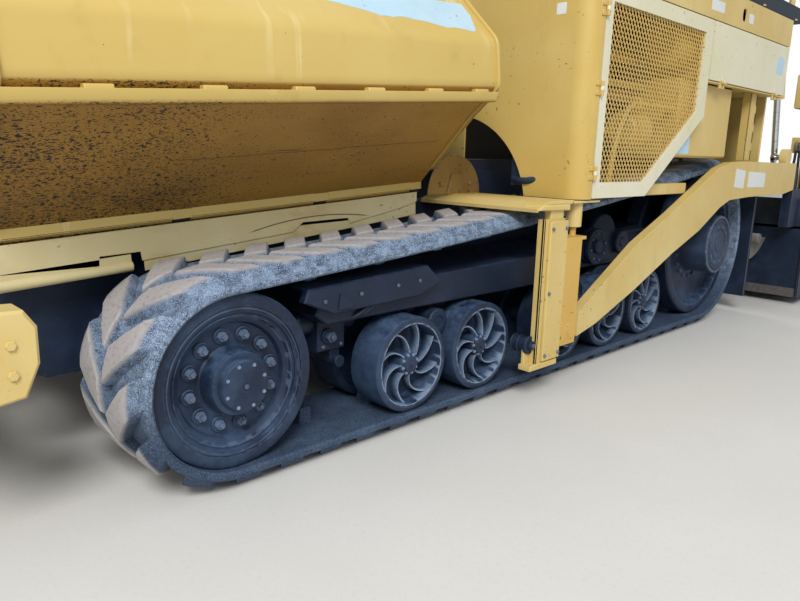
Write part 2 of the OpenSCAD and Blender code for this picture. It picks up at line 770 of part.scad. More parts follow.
// Tube from y0 to y1 on the hinge pin, with the web that joins it to the wing
module hinge_tube(y0, y1) {
    difference() {
        union() {
            rod_y(0, y0, 0, hinge_tube_r, y1 - y0);
            slab_y(y0, y1 - y0) polygon([[0, 0], [10, 24], [50, 60], [60, 50], [24, 10]]);
        }
        rod_y(0, y0 - 1, 0, hinge_pin_r + pin_gap, y1 - y0 + 2);
    }
}

function unit(v) = v / norm(v);
function left_of(v) = [-v[1], v[0]];
function reversed(points) = [for (i = [len(points) - 1:-1:0]) points[i]];

// The same open line moved to its left by a distance, with mitred corners
function offset_line(points, distance) = [
    for (i = [0:len(points) - 1])
        let (
            before = unit(points[max(i, 1)] - points[max(i, 1) - 1]),
            after = unit(points[min(i + 1, len(points) - 1)] - points[min(i, len(points) - 2)]),
            across = unit(left_of(before) + left_of(after))
        )
        points[i] + distance * across / (across * left_of(before))
];

module hood_lid() {
    color(yellow) placed() {
        block([-body_half_w + 20, front_wall_y + 20, hood_z + panel_gap],
            [body_half_w - 20, deck_front_y - 20, hood_z + panel_gap + lid_t]);
        lid_knuckles(1);
    }
}

// A side door in side view, its rear corner cut off
door_front_y = 1003;
door_edge = [[door_front_y, 916], [1526, 916], [2142, 1345], [2150, door_top_z - panel_gap],
    [door_front_y, door_top_z - panel_gap]];
mesh_edge = [[1060, 990], [1496, 990], [2040, 1370], [2060, door_top_z - 80], [1060, door_top_z - 80]];

module door(side) {
    outer = body_half_w;
    color(yellow) on_side(side) {
        slab_x(outer - 25, 25) difference() {
            polygon(door_edge);
            polygon(mesh_edge);
        }
        door_knuckles(1);
    }
}

module door_mesh(side) {
    color(yellow) on_side(side) slab_x(body_half_w - 14, 4) polygon(mesh_edge);
}

module hatch(side) {
    outer = body_half_w;
    color(yellow) on_side(side) {
        block([outer - 20, deck_front_y + 4, 1551], [outer, body_rear_y - 4, door_top_z - panel_gap]);
        hatch_knuckles(1);
    }
}

main_half_w = screed_half_w - 30;
guide_r = 35;
guide_zs = [200, 420];

module screed() {
    front = screed_y;
    color(dark) placed() {
        block([-main_half_w, front, screed_lift], [main_half_w, front + screed_depth, screed_lift + 20]);
        block([-main_half_w, front, screed_lift + 20], [main_half_w, front + 30, 620]);
        block([-main_half_w, front + 30, 600], [main_half_w, front + screed_depth, 620]);
        for (side = [-1, 1]) mirror([side < 0 ? 1 : 0, 0, 0]) {
            difference() {
                block([1150, front + 150, screed_lift + 20], [1350, front + 350, 600]);
                for (z = guide_zs) rod_x(1149, front + 250, z, guide_r + pin_gap, 202);
            }
            block([post_x - 20, front - 190, 620], [post_x + arm_t, front + 60, 905]);
        }
    }
}

module screed_walkway() {
    color(dark) placed() {
        block([-main_half_w, walkway_rear_y - 460, 620], [main_half_w, walkway_rear_y, 640]);
        for (x = [-1300, -450, 410, 1260])
            block([x, screed_y + 100, 620], [x + 40, walkway_rear_y - 460, 660]);
    }
}

module extension(side) {
    y0 = screed_y + screed_depth + panel_gap;
    color(dark) on_side(side) {
        block([60, y0, screed_lift], [screed_half_w, y0 + 330, screed_lift + 20]);
        block([60, y0, screed_lift + 20], [screed_half_w - 20, y0 + 30, 560]);
        // End plate that closes the screed's side
        block([screed_half_w - 20, screed_y - 30, screed_lift], [screed_half_w, y0 + 330, 560]);
        for (z = guide_zs) rod_x(100, screed_y + 250, z, guide_r, screed_half_w - 120);
    }
}

module lift_barrel(side) {
    eye_r = 34;
    bore_from = 45;
    color(yellow) on_side(side) lift_frame() difference() {
        union() {
            translate([0, 0, -lift_mouth]) cylinder(r = 45, h = lift_mouth - 40);
            rod_x(-13, 0, 0, eye_r, 26);
            block([-13, -30, -60], [13, 30, 0]);
        }
        rod_x(-14, 0, 0, 16 + pin_gap, 28);
        translate([0, 0, -lift_mouth - 1]) cylinder(r = lift_rod_r + pin_gap, h = lift_mouth - bore_from);
    }
}

module lift_rod(side) {
    engaged = 55;
    rim = 32;
    // The eye's pin reaches out to the tow arm and lies on its face
    color(steel) on_side(side) lift_frame() {
        translate([0, 0, -lift_length + rim]) cylinder(r = lift_rod_r, h = lift_length - lift_mouth + engaged - rim);
        rod_x(-13, 0, -lift_length, 40, 26);
        rod_x(-20, 0, -lift_length, 20, post_x - lift_x + 20);
    }
}

chassis();
hopper_floor();
conveyors();
engine();
push_beam();
track_frame(1);  // left_track_frame
track_frame(-1);  // right_track_frame
wheels(1);  // left_wheels
wheels(-1);  // right_wheels
belt(1);  // left_belt
belt(-1);  // right_belt
tow_post(1);  // left_tow_post
tow_post(-1);  // right_tow_post
front_panel(1);  // left_front_panel
front_panel(-1);  // right_front_panel
hood_sides();
side_body(1);  // left_side_body
side_body(-1);  // right_side_body
engine_bay();
deck();
stations();
handrail(1);  // left_handrail
handrail(-1);  // right_handrail
canopy_posts();
canopy();
auger_frame();
rear_frame();
wing(1);  // left_wing
wing(-1);  // right_wing
push_roller(1);  // left_push_roller
push_roller(-1);  // right_push_roller
hood_lid();
door(1);  // left_door
door(-1);  // right_door
door_mesh(1);  // left_door_mesh
door_mesh(-1);  // right_door_mesh
hatch(1);  // left_hatch
hatch(-1);  // right_hatch
tow_slides();
tow_arm(1);  // left_tow_arm
tow_arm(-1);  // right_tow_arm
screed();
screed_walkway();
extension(1);  // left_extension
extension(-1);  // right_extension
lift_barrel(1);  // left_lift_barrel
lift_barrel(-1);  // right_lift_barrel
lift_rod(1);  // left_lift_rod
lift_rod(-1);  // right_lift_rod
auger(1);  // left_auger
auger(-1);  // right_auger
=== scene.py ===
"""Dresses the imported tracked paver: rubber belts, wheels, hopper wings, side panels, tow arms and screed."""
import json
import math
import bmesh
import bpy
import numpy as np
from mathutils import Matrix, Vector

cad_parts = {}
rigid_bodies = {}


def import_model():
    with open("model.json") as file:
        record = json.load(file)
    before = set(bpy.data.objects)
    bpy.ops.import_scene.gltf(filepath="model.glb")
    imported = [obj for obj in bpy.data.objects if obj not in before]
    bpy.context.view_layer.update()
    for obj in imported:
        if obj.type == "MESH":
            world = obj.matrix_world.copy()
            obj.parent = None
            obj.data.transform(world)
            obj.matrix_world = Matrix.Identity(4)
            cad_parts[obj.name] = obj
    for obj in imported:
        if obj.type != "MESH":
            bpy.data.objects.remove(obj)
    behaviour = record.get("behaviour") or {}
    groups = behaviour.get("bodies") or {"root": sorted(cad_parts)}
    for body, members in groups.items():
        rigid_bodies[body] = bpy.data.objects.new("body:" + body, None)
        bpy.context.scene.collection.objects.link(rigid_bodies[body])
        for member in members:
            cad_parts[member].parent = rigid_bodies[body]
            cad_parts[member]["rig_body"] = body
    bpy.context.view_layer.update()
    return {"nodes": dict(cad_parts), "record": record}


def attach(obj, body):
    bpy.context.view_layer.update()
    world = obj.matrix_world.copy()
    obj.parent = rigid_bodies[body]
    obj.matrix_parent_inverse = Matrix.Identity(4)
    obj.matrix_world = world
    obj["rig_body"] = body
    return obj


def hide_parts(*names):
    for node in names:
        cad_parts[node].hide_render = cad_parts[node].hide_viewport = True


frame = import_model()

# The first road wheel's axle lies here along the machine, and lengths named y below start from it
AXLE_Y = -1.574
# Millimetres across the machine: track frame, its side beam, tank, tow post's channel and side panels
FRAME_X, BEAM_X, TANK_X, POST_X, SIDE_X = 700, 801, 1354, 1360, 1410
# Heights of the side panels' foot, the hatch's foot, the upper panel's foot, the deck and its plate's upper face
SILL, HATCH_Z, PANEL_Z, DECK_Z, DECK_TOP = 912, 1545, 1868, 2040, 2044
# Places along the machine: front wall, deck's front edge, deck's rear edge and screed's front face
FRONT_Y, DECK_Y, REAR_Y, SCREED_Y = 905, 2160, 3405, 4090
# Axles of the road wheels, the idler and the drive wheel
ROAD_AXLES, IDLER_AXLE, DRIVE_AXLE = (0, 440, 1098, 1538, 1978), (-790, 366), (2814, 558.5)


# Surfaces on grids of points

def from_mm(grid):
    """Places in millimetres, y from the first road wheel's axle, put into the machine's metres."""
    return np.asarray(grid, float) / 1000 + [0, AXLE_Y, 0]


class Piece:
    """Collects skins over grids of points and makes one mesh of them."""

    def __init__(self):
        self.points, self.faces, self.wear, self.count = [], [], [], 0

    def skin(self, grid, along=False, around=False, ends=False, wear=0.0):
        """Covers points grid[..., i, j] with four-cornered faces. along joins the last row to the first, around the
        last column to the first, and ends closes the first and last rows with one face each."""
        grid = np.asarray(grid, float)
        rows, cols = grid.shape[-3:-1]
        ids = np.arange(grid.size // 3).reshape(-1, rows, cols) + self.count
        net = np.concatenate([ids, ids[:, :1]], 1) if along else ids
        net = np.concatenate([net, net[:, :, :1]], 2) if around else net
        self.faces += np.stack(
            [net[:, :-1, :-1], net[:, :-1, 1:], net[:, 1:, 1:], net[:, 1:, :-1]], -1).reshape(-1, 4).tolist()
        if ends:
            self.faces += ids[:, 0, ::-1].tolist() + ids[:, -1].tolist()
        self.points.append(grid.reshape(-1, 3))
        self.wear.append(np.broadcast_to(wear, grid.shape[:-1]).reshape(-1))
        self.count += grid.size // 3
        return self

    def slab(self, outline, x0, x1, rim=3, wear=0.0):
        """A side view's outline pushed across the machine, in millimetres, y from the first road wheel's axle."""
        grid = plate(outline, x0, x1, 0, min(rim, 0.3 * (x1 - x0)))
        return self.skin(from_mm(grid), around=True, ends=True, wear=wear)

    def block(self, low, high, rim=3, wear=0.0):
        """A block by two corners in the same lengths."""
        (x0, y0, z0), (x1, y1, z1) = low, high
        rim = min(rim, 0.3 * (y1 - y0), 0.3 * (z1 - z0))
        return self.slab([(y0, z0), (y1, z0), (y1, z1), (y0, z1)], x0, x1, rim, wear)

    def rod(self, start, r, length, axis=0, rim=2, turns=24, wear=0.0):
        """A round bar from its start point along an axis, in the same lengths."""
        profile = [(0, 0), (r - rim, 0), (r, rim), (r, length - rim), (r - rim, length), (0, length)]
        return self.spindle(profile, start, axis, turns, wear)

    def spindle(self, profile, start, axis=0, turns=32, wear=0.0):
        """A turned form (radius, distance along the axis) from its start point, in the same lengths."""
        return self.skin(from_mm(lathe(profile, start, turns, axis)), around=True, wear=wear)

    def pipe(self, path, r, n=30, sides=12, wear=0.0, up=(0, 0, 1)):
        """A bent bar through points, in the same lengths."""
        line = from_mm(smooth_path(path, n))
        return self.skin(carried(ring(r / 1000, sides), line, up), around=True, ends=True, wear=wear)

    def turned(self, parts, centre):
        """Surfaces of revolution about the x axis through a centre, each row a profile, its turns and its wear."""
        for profile, turns, wear in parts:
            self.skin(lathe(profile, centre, turns), around=True, wear=wear)
        return self

    def mesh(self, name, mirrored=False, crease=32):
        """One mesh, with its doubles merged, its faces turned outwards and its edges sharp past an angle."""
        points = np.concatenate(self.points)
        if mirrored:
            points = points * [-1, 1, 1]
        mesh = bpy.data.meshes.new(name)
        mesh.from_pydata(points, [], self.faces)
        mark = mesh.attributes.new("wear", "FLOAT", "POINT")
        mark.data.foreach_set("value", np.concatenate(self.wear).astype(np.float32))
        tidy_shell(mesh)
        mesh.polygons.foreach_set("use_smooth", np.ones(len(mesh.polygons), bool))
        mesh.set_sharp_from_angle(angle=math.radians(crease))
        return mesh


def tidy_shell(mesh):
    """Merges points closer than a fiftieth of a millimetre and turns the faces outwards."""
    shell = bmesh.new()
    shell.from_mesh(mesh)
    bmesh.ops.remove_doubles(shell, verts=shell.verts, dist=2e-5)
    bmesh.ops.recalc_face_normals(shell, faces=shell.faces)
    shell.to_mesh(mesh)
    shell.free()


def lathe(profile, centre, turns=48, axis=0):
    """A surface of revolution: a profile point (r, h) goes h along the axis from the centre, and round it at
    radius r."""
    r, h = np.asarray(profile, float).T
    a = np.linspace(0, 2 * np.pi, turns, endpoint=False)
    grid = np.empty((len(r), turns, 3))
    grid[..., axis] = h[:, None]
    grid[..., (axis + 1) % 3] = r[:, None] * np.cos(a)
    grid[..., (axis + 2) % 3] = r[:, None] * np.sin(a)
    return grid + np.asarray(centre, float)


def carried(profile, path, up=(0, 0, 1), size=None):
    """A profile carried along a path: its point (a, b) lies a to the path's side and b above it, at each path point,
    both times size there."""
    path = np.asarray(path, float)
    ahead = np.gradient(path, axis=0)
    ahead /= np.linalg.norm(ahead, axis=1, keepdims=True)
    side = np.cross(ahead, up)
    side /= np.linalg.norm(side, axis=1, keepdims=True)
    top = np.cross(side, ahead)
    a, b = np.asarray(profile, float).T
    k = np.ones(len(path)) if size is None else np.asarray(size)
    return path[:, None] + k[:, None, None] * (a[:, None] * side[:, None] + b[:, None] * top[:, None])


def ring(r, n=12):
    """n points of a circle."""
    a = np.linspace(0, 2 * np.pi, n, endpoint=False)
    return np.stack([r * np.cos(a), r * np.sin(a)], -1)


def smooth_path(points, n=40):
    """A curve through points by Catmull and Rom's cubic, n places on it."""
    p = np.asarray(points, float)
    p = np.concatenate([[2 * p[0] - p[1]], p, [2 * p[-1] - p[-2]]])
    t = np.linspace(0, len(p) - 3 - 1e-9, n)
    i, u = t.astype(int), (t % 1)[:, None]
    a, b, c, d = p[i], p[i + 1], p[i + 2], p[i + 3]
    return 0.5 * (2 * b + (c - a) * u + (2 * a - 5 * b + 4 * c - d) * u ** 2 + (3 * b - a - 3 * c + d) * u ** 3)


def oblong(low, high, radii, n):
    """A rectangle by two corners, its corners rounded."""
    (a, b), (c, d) = low, high
    return rounded([(a, b), (c, b), (c, d), (a, d)], radii, n)


def drawn_in(outline, inset):
    """A closed outline moved inwards by inset, each corner along the mitre of its two edges."""
    p = np.asarray(outline, float)
    before, after = p - np.roll(p, 1, 0), np.roll(p, -1, 0) - p
    turning = np.sign(np.sum(before[:, 0] * after[:, 1] - before[:, 1] * after[:, 0]))
    n0 = np.stack([-before[:, 1], before[:, 0]], -1) / np.linalg.norm(before, axis=1, keepdims=True)
    n1 = np.stack([-after[:, 1], after[:, 0]], -1) / np.linalg.norm(after, axis=1, keepdims=True)
    mitre = n0 + n1
    return p + turning * inset * mitre / np.maximum((mitre * n1).sum(1), 0.3)[:, None]


def plate(outline, low, high, axis=0, rim=0.003):
    """A flat plate: its outline pushed along an axis from low to high, with rims drawn in by rim at both faces."""
    p = np.asarray(outline, float)
    inner = drawn_in(p, rim)
    rings = [(inner, low), (p, low + rim), (p, high - rim), (inner, high)]
    grid = np.empty((4, len(p), 3))
    for i, (line, h) in enumerate(rings):
        grid[i, :, axis] = h
        grid[i, :, [k for k in range(3) if k != axis]] = line.T
    return grid


def rounded(points, r, n=5):
    """A closed outline with each corner replaced by n points of an arc that leaves its edges r from the corner."""
    p = np.asarray(points, float)
    r = np.broadcast_to(r, len(p))[:, None]
    to_back, to_next = np.roll(p, 1, 0) - p, np.roll(p, -1, 0) - p
    a = p + r * to_back / np.linalg.norm(to_back, axis=1, keepdims=True)
    b = p + r * to_next / np.linalg.norm(to_next, axis=1, keepdims=True)
    t = np.linspace(0, 1, n)[None, :, None]
    return ((1 - t) ** 2 * a[:, None] + 2 * t * (1 - t) * p[:, None] + t ** 2 * b[:, None]).reshape(-1, 2)


def box(low, high, rim=0.003):
    """A block by two corners, its edges drawn in by rim."""
    (x0, y0, z0), (x1, y1, z1) = low, high
    return plate([(y0, z0), (y1, z0), (y1, z1), (y0, z1)], x0, x1, 0, rim)


def spun(grid, centre, angles, axis=0):
    """Copies of a grid turned about an axis through the centre by each of the angles."""
    angles = np.asarray(angles, float)
    j, k = (axis + 1) % 3, (axis + 2) % 3
    off = grid - np.asarray(centre, float)
    out = np.repeat(off[None], len(angles), 0)
    c, s = (f(angles).reshape((-1,) + (1,) * (grid.ndim - 1)) for f in (np.cos, np.sin))
    out[..., j], out[..., k] = off[..., j] * c - off[..., k] * s, off[..., j] * s + off[..., k] * c
    return out + np.asarray(centre, float)


def around_axle(centre, offset, angles):
    """Places at an offset from a centre, turned about the x axis through it by each angle."""
    return spun(np.array([[centre + offset]]), centre, angles)[:, 0, 0]


def studded(piece, places, r, h, wear):
    """Bolt heads of radius r and height h at many places, each a six-sided profile on a round washer about the x
    axis."""
    washer = lathe([(0, 0), (1.35 * r, 0), (1.35 * r, 0.2 * h), (0, 0.2 * h)], (0, 0, 0), 16)
    head = lathe([(0, 0.1 * h), (r, 0.1 * h), (r, 0.9 * h), (0.85 * r, h), (0, h)], (0, 0, 0), 6)
    for grid in (washer, head):
        piece.skin(np.asarray(places, float)[:, None, None, :] + grid, around=True, wear=wear)


def add(piece, name, body, finish, replaces=(), mirrored=False, crease=32):
    """Puts a piece in the scene on its body."""
    mesh = piece.mesh(name, mirrored, crease) if isinstance(piece, Piece) else piece
    thing = bpy.data.objects.new(name, mesh)
    bpy.context.scene.collection.objects.link(thing)
    mesh.materials.clear()
    mesh.materials.append(finish)
    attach(thing, body)
    if replaces:
        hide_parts(*replaces)
    return thing


def both_sides(piece, name, body, finish, replaces=(), crease=32):
    """The left piece and its mirror image. A {} in a name stands for the side."""
    for side in ("left", "right"):
        add(piece, name.format(side), body.format(side), finish, [r.format(side) for r in replaces],
            side == "right", crease)


# Finishes

def tone(r, g, b):
    """A colour written as 0 to 255 in the screen's scale, in linear light."""
    c = np.array([r, g, b]) / 255
    return (*np.where(c <= 0.04045, c / 12.92, ((c + 0.055) / 1.055) ** 2.4), 1)


class Finish:
    """A material whose colour is laid on in coats, each by its own mask."""

    def __init__(self, name, colour, rough=0.5, metal=0.0, specular=0.4):
        self.material = bpy.data.materials.new(name)
        self.material.use_nodes = True
        self.tree = self.material.node_tree
        self.shader = self.tree.nodes["Principled BSDF"]
        self.place = self.node("TexCoord").outputs["Object"]
        self.colour = tuple(tone(*colour))
        self.shader.inputs["Metallic"].default_value = metal
        self.shader.inputs["Specular IOR Level"].default_value = specular
        self.rough, self.height = rough, None

    def node(self, kind, **settings):
        made = self.tree.nodes.new("ShaderNode" + kind)
        for key, value in settings.items():
            setattr(made, key, value)
        return made

    def join(self, value, socket):
        if isinstance(value, bpy.types.NodeSocket):
            self.tree.links.new(value, socket)
        else:
            socket.default_value = value

    def math(self, operation, a, b=0.5, clamp=False):
        made = self.node("Math", operation=operation, use_clamp=clamp)
        self.join(a, made.inputs[0])
        self.join(b, made.inputs[1])
        return made.outputs[0]

    def noise(self, scale, detail=3.0, rough=0.55, stretch=(1, 1, 1), shift=(0, 0, 0), warp=0.0):
        """Cloudy noise over the object's own place, stretched and moved."""
        spread = self.node("Mapping")
        self.join(self.place, spread.inputs["Vector"])
        spread.inputs["Scale"].default_value = stretch
        spread.inputs["Location"].default_value = shift
        made = self.node("TexNoise")
        made.inputs["Scale"].default_value = scale
        made.inputs["Detail"].default_value = detail
        made.inputs["Roughness"].default_value = rough
        made.inputs["Distortion"].default_value = warp
        self.join(spread.outputs[0], made.inputs["Vector"])
        return made.outputs["Fac"]

    def cells(self, scale):
        """Distance to the nearest of many scattered points, for a crushed grain."""
        made = self.node("TexVoronoi", feature="F1")
        made.inputs["Scale"].default_value = scale
        made.inputs["Randomness"].default_value = 1.0
        self.join(self.place, made.inputs["Vector"])
        return made.outputs["Distance"]

    def wear(self):
        return self.node("Attribute", attribute_name="wear").outputs["Fac"]

    def along(self, axis):
        """The object's place along one axis, 0 to 2, in metres."""
        parts = self.node("SeparateXYZ")
        self.join(self.place, parts.inputs[0])
        return parts.outputs[axis]

    def facing(self, axis):
        """How far a face points along one axis, from -1 to 1."""
        parts = self.node("SeparateXYZ")
        self.join(self.node("NewGeometry").outputs["Normal"], parts.inputs[0])
        return parts.outputs[axis]

    def step(self, value, low, high, to_low=0.0, to_high=1.0):
        """A smooth step of a value from low to high."""
        made = self.node("MapRange", interpolation_type="SMOOTHSTEP")
        self.join(value, made.inputs["Value"])
        for key, number in zip(("From Min", "From Max", "To Min", "To Max"), (low, high, to_low, to_high)):
            made.inputs[key].default_value = number
        return made.outputs["Result"]

    def both(self, *masks):
        out = masks[0]
        for mask in masks[1:]:
            out = self.math("MULTIPLY", out, mask)
        return out

    def coat(self, mask, colour, rough=None):
        """Lays a colour over the earlier ones where its mask is."""
        made = self.node("Mix", data_type="RGBA", clamp_factor=True)
        self.join(mask, made.inputs[0])
        self.join(self.colour, made.inputs[6])
        made.inputs[7].default_value = tone(*colour)
        self.colour = made.outputs[2]
        if rough is not None:
            blend = self.node("Mix", data_type="FLOAT", clamp_factor=True)
            self.join(mask, blend.inputs[0])
            self.join(self.rough, blend.inputs[2])
            blend.inputs[3].default_value = rough
            self.rough = blend.outputs[0]
        return self

    def relief(self, value, depth):
        """Adds a height in metres to the bumps."""
        part = self.math("MULTIPLY", value, depth)
        self.height = part if self.height is None else self.math("ADD", self.height, part)
        return self

    def done(self):
        self.join(self.colour, self.shader.inputs["Base Color"])
        self.join(self.rough, self.shader.inputs["Roughness"])
        if self.height is not None:
            bump = self.node("Bump")
            bump.inputs["Strength"].default_value = 1.0
            bump.inputs["Distance"].default_value = 1.0
            self.join(self.height, bump.inputs["Height"])
            self.join(bump.outputs[0], self.shader.inputs["Normal"])
        return self.material


def paint(name, colour, faded, shade, chips=0.5, grime=0.5, rough=0.42, seed=0.0):
    """Old machine paint: faded in clouds, with dust, run marks, stone chips down to rust and fine specks."""
    f = Finish(name, colour, rough)
    clouds = f.noise(1.3, 4, 0.6, shift=(seed, 0, 0))
    f.coat(f.step(clouds, 0.42, 0.7, 0, 0.7), faded, rough + 0.08)
    f.coat(f.step(f.noise(5, 5, 0.65, (1, 1, 0.5), (0, seed, 0)), 0.52, 0.78, 0, 0.45 * grime), shade, 0.6)
    runs = f.both(f.step(f.noise(9, 3, 0.6, (1, 1, 0.06), (seed, seed, 0)), 0.56, 0.72),
                  f.step(f.noise(1.1, 2, 0.5), 0.45, 0.65))
    f.coat(f.math("MULTIPLY", runs, 0.3 * grime), shade, 0.55)
    f.coat(f.step(f.noise(230, 2, 0.6), 0.66, 0.74, 0, 0.5 * grime), shade, 0.7)
    rim = f.both(f.step(f.noise(46, 4, 0.7, shift=(0, 0, seed)), 0.665 - 0.03 * chips, 0.70 - 0.03 * chips),
                 f.step(f.noise(2.1, 3, 0.6), 0.45, 0.56))
    f.coat(rim, (74, 48, 34), 0.8)
    f.relief(rim, -0.0004)
    f.relief(f.noise(70, 3, 0.6), 0.0002)
    return f.done()


def dark_metal(name, colour, dust, rust=0.3, rough=0.5, seed=0.0, rubbed_and_highlight=(126, 118, 110)):
    """Blackened steel under dried dust, with bitumen specks and rust on the worn places."""
    f = Finish(name, colour, rough, specular=0.35)
    f.coat(f.step(f.noise(3.1, 5, 0.65, shift=(seed, 0, 0)), 0.4, 0.75, 0, 0.55), dust, 0.75)
    f.coat(f.both(f.step(f.facing(2), 0.25, 0.9), f.step(f.noise(22, 5, 0.7), 0.35, 0.65, 0, 0.55)), dust, 0.9)
    f.coat(f.step(f.noise(120, 3, 0.7), 0.6, 0.72, 0, 0.5), dust, 0.8)
    f.coat(f.step(f.noise(34, 4, 0.7, shift=(0, seed, 0)), 0.66, 0.72, 0, rust), (105, 70, 45), 0.85)
    # Worn edges and rims, by the wear mark, in a lighter colour: worn steel, and for the undercarriage and wheels also
    # a painted blue-grey highlight
    f.coat(f.both(f.step(f.wear(), 0.2, 0.95, 0, 0.9), f.step(f.noise(44, 4, 0.7), 0.3, 0.55, 0.55, 1.0)),
           rubbed_and_highlight, 0.42)
    f.relief(f.noise(60, 5, 0.65), 0.0006)
    f.relief(f.step(f.noise(150, 3, 0.7), 0.6, 0.75), 0.0006)
    return f.done()


def belt_rubber():
    """Belt rubber: blue-black, speckled with grey stone dust, and worn to a dusty beige on the lugs' tops."""
    f = Finish("belt_rubber", (50, 64, 86), 0.75, specular=0.25)
    f.coat(f.step(f.noise(6, 5, 0.7), 0.35, 0.7, 0, 0.6), (76, 94, 120), 0.8)
    f.coat(f.step(f.noise(260, 3, 0.75), 0.52, 0.70, 0, 0.7), (132, 152, 180), 0.85)
    f.coat(f.step(f.noise(90, 4, 0.75, shift=(3, 0, 0)), 0.54, 0.66, 0, 0.8), (26, 34, 48), 0.7)
    top = f.step(f.wear(), 0.45, 0.8)
    upper = f.step(f.along(2), 0.20, 0.50)
    f.coat(f.both(upper, f.step(f.noise(26, 5, 0.7, shift=(0, 2, 0)), 0.38, 0.66, 0, 0.9)), (122, 142, 168), 0.8)
    f.coat(f.both(upper, f.step(f.noise(340, 2, 0.7), 0.50, 0.62, 0, 0.7)), (178, 194, 214), 0.85)
    f.coat(f.step(f.noise(150, 4, 0.75, shift=(1, 0, 0)), 0.56, 0.64, 0, 0.6), (34, 42, 56), 0.7)
    f.coat(f.math("MULTIPLY", top, f.step(f.noise(16, 5, 0.7), 0.1, 0.4, 0.75, 1.0)), (166, 162, 162), 0.85)
    f.coat(f.both(top, f.step(f.noise(60, 4, 0.7), 0.50, 0.66, 0, 0.6)), (138, 132, 130), 0.9)
    f.coat(f.both(top, f.step(f.noise(300, 2, 0.7), 0.6, 0.72, 0, 0.7)), (104, 100, 102), 0.9)
    f.relief(f.noise(110, 4, 0.7), 0.0012)
    f.relief(f.noise(14, 3, 0.6), 0.002)
    return f.done()


BODY = paint("body_yellow", (204, 176, 104), (216, 196, 136), (158, 128, 68))
# Body yellow darkened into painted shade for the front panels, which face forward
FRONT_PAINTED_SHADE = paint("front_yellow_painted_shade", (198, 168, 92), (210, 184, 114), (150, 120, 60), seed=1.3)
# Body yellow darkened into painted shade for the filters and pipes behind the door mesh
SHADED = paint("housing_yellow_painted_shade", (196, 166, 92), (206, 180, 112), (140, 110, 56), seed=2.7)
CREAM = paint("hatch_cream", (214, 208, 176), (224, 220, 200), (182, 164, 118), chips=0.3, seed=5.1)
ORANGE = paint("slide_orange", (204, 162, 76), (212, 178, 100), (144, 104, 44), chips=0.8, seed=8.3)
# The undercarriage and wheels take a blue-grey on their worn edges that is partly painted highlight
UNDER = dark_metal("under_black", (20, 32, 52), (46, 64, 92), rubbed_and_highlight=(104, 118, 138))
WHEEL = dark_metal("wheel_black", (22, 34, 56), (74, 98, 130), rust=0.15, seed=4.0, rubbed_and_highlight=(128, 146, 172))
DARK = dark_metal("dark_paint", (24, 32, 48), (62, 68, 78), rust=0.4, seed=7.0)
ENGINE = dark_metal("engine_paint", (60, 58, 54), (90, 84, 74), rust=0.3, seed=9.0)
STEEL = dark_metal("bare_steel", (112, 110, 108), (140, 134, 124), rust=0.9, rough=0.38, seed=1.0)
BELT = belt_rubber()


def bright_rod():
    """A hard-chromed rod with faint rings of oil."""
    f = Finish("bright_rod", (200, 205, 212), 0.16, metal=1.0)
    f.coat(f.step(f.noise(30, 3, 0.6, (1, 1, 4)), 0.5, 0.75, 0, 0.5), (120, 110, 95), 0.35)
    return f.done()


def black_plastic():
    """Matt black plastic with a fine grain and dust on its upper faces."""
    f = Finish("dark_plastic", (36, 37, 40), 0.6)
    f.coat(f.step(f.facing(2), 0.3, 1.0, 0, 0.5), (96, 92, 86), 0.85)
    f.coat(f.step(f.noise(8, 4, 0.6), 0.4, 0.7, 0, 0.3), (62, 62, 64), 0.7)
    f.relief(f.noise(420, 2, 0.6), 0.0002)
    return f.done()


ROD = bright_rod()
PLASTIC = black_plastic()

# Course of a belt, with the same lengths as the solids
BELT_X, BELT_W, BELT_T, LUG_H = 1.044, 0.450, 0.033, 0.040
IDLER_Y, DRIVE_Y, IDLER_R, DRIVE_R, ROAD_R = -0.790, 2.814, 0.293, 0.4855, 0.197
BELT_BASE = BELT_T + LUG_H
SAG = 0.033
SPAN = DRIVE_Y - IDLER_Y
RUN_TILT = 2 * math.atan((DRIVE_R - IDLER_R) / SPAN)
SAG_TILT = math.atan(4 * SAG / SPAN)
FRONT_TILT, REAR_TILT = RUN_TILT - SAG_TILT, RUN_TILT + SAG_TILT
IDLER_C = np.array([IDLER_Y, BELT_BASE + IDLER_R])
DRIVE_C = np.array([DRIVE_Y, BELT_BASE + DRIVE_R])
TOP_REAR = DRIVE_C + DRIVE_R * np.array([-math.sin(REAR_TILT), math.cos(REAR_TILT)])
TOP_FRONT = IDLER_C + IDLER_R * np.array([-math.sin(FRONT_TILT), math.cos(FRONT_TILT)])
LENGTHS = np.cumsum([0, SPAN, (math.pi + REAR_TILT) * DRIVE_R, np.linalg.norm(TOP_REAR - TOP_FRONT),
                     (math.pi - FRONT_TILT) * IDLER_R])
BELT_LENGTH = LENGTHS[-1]


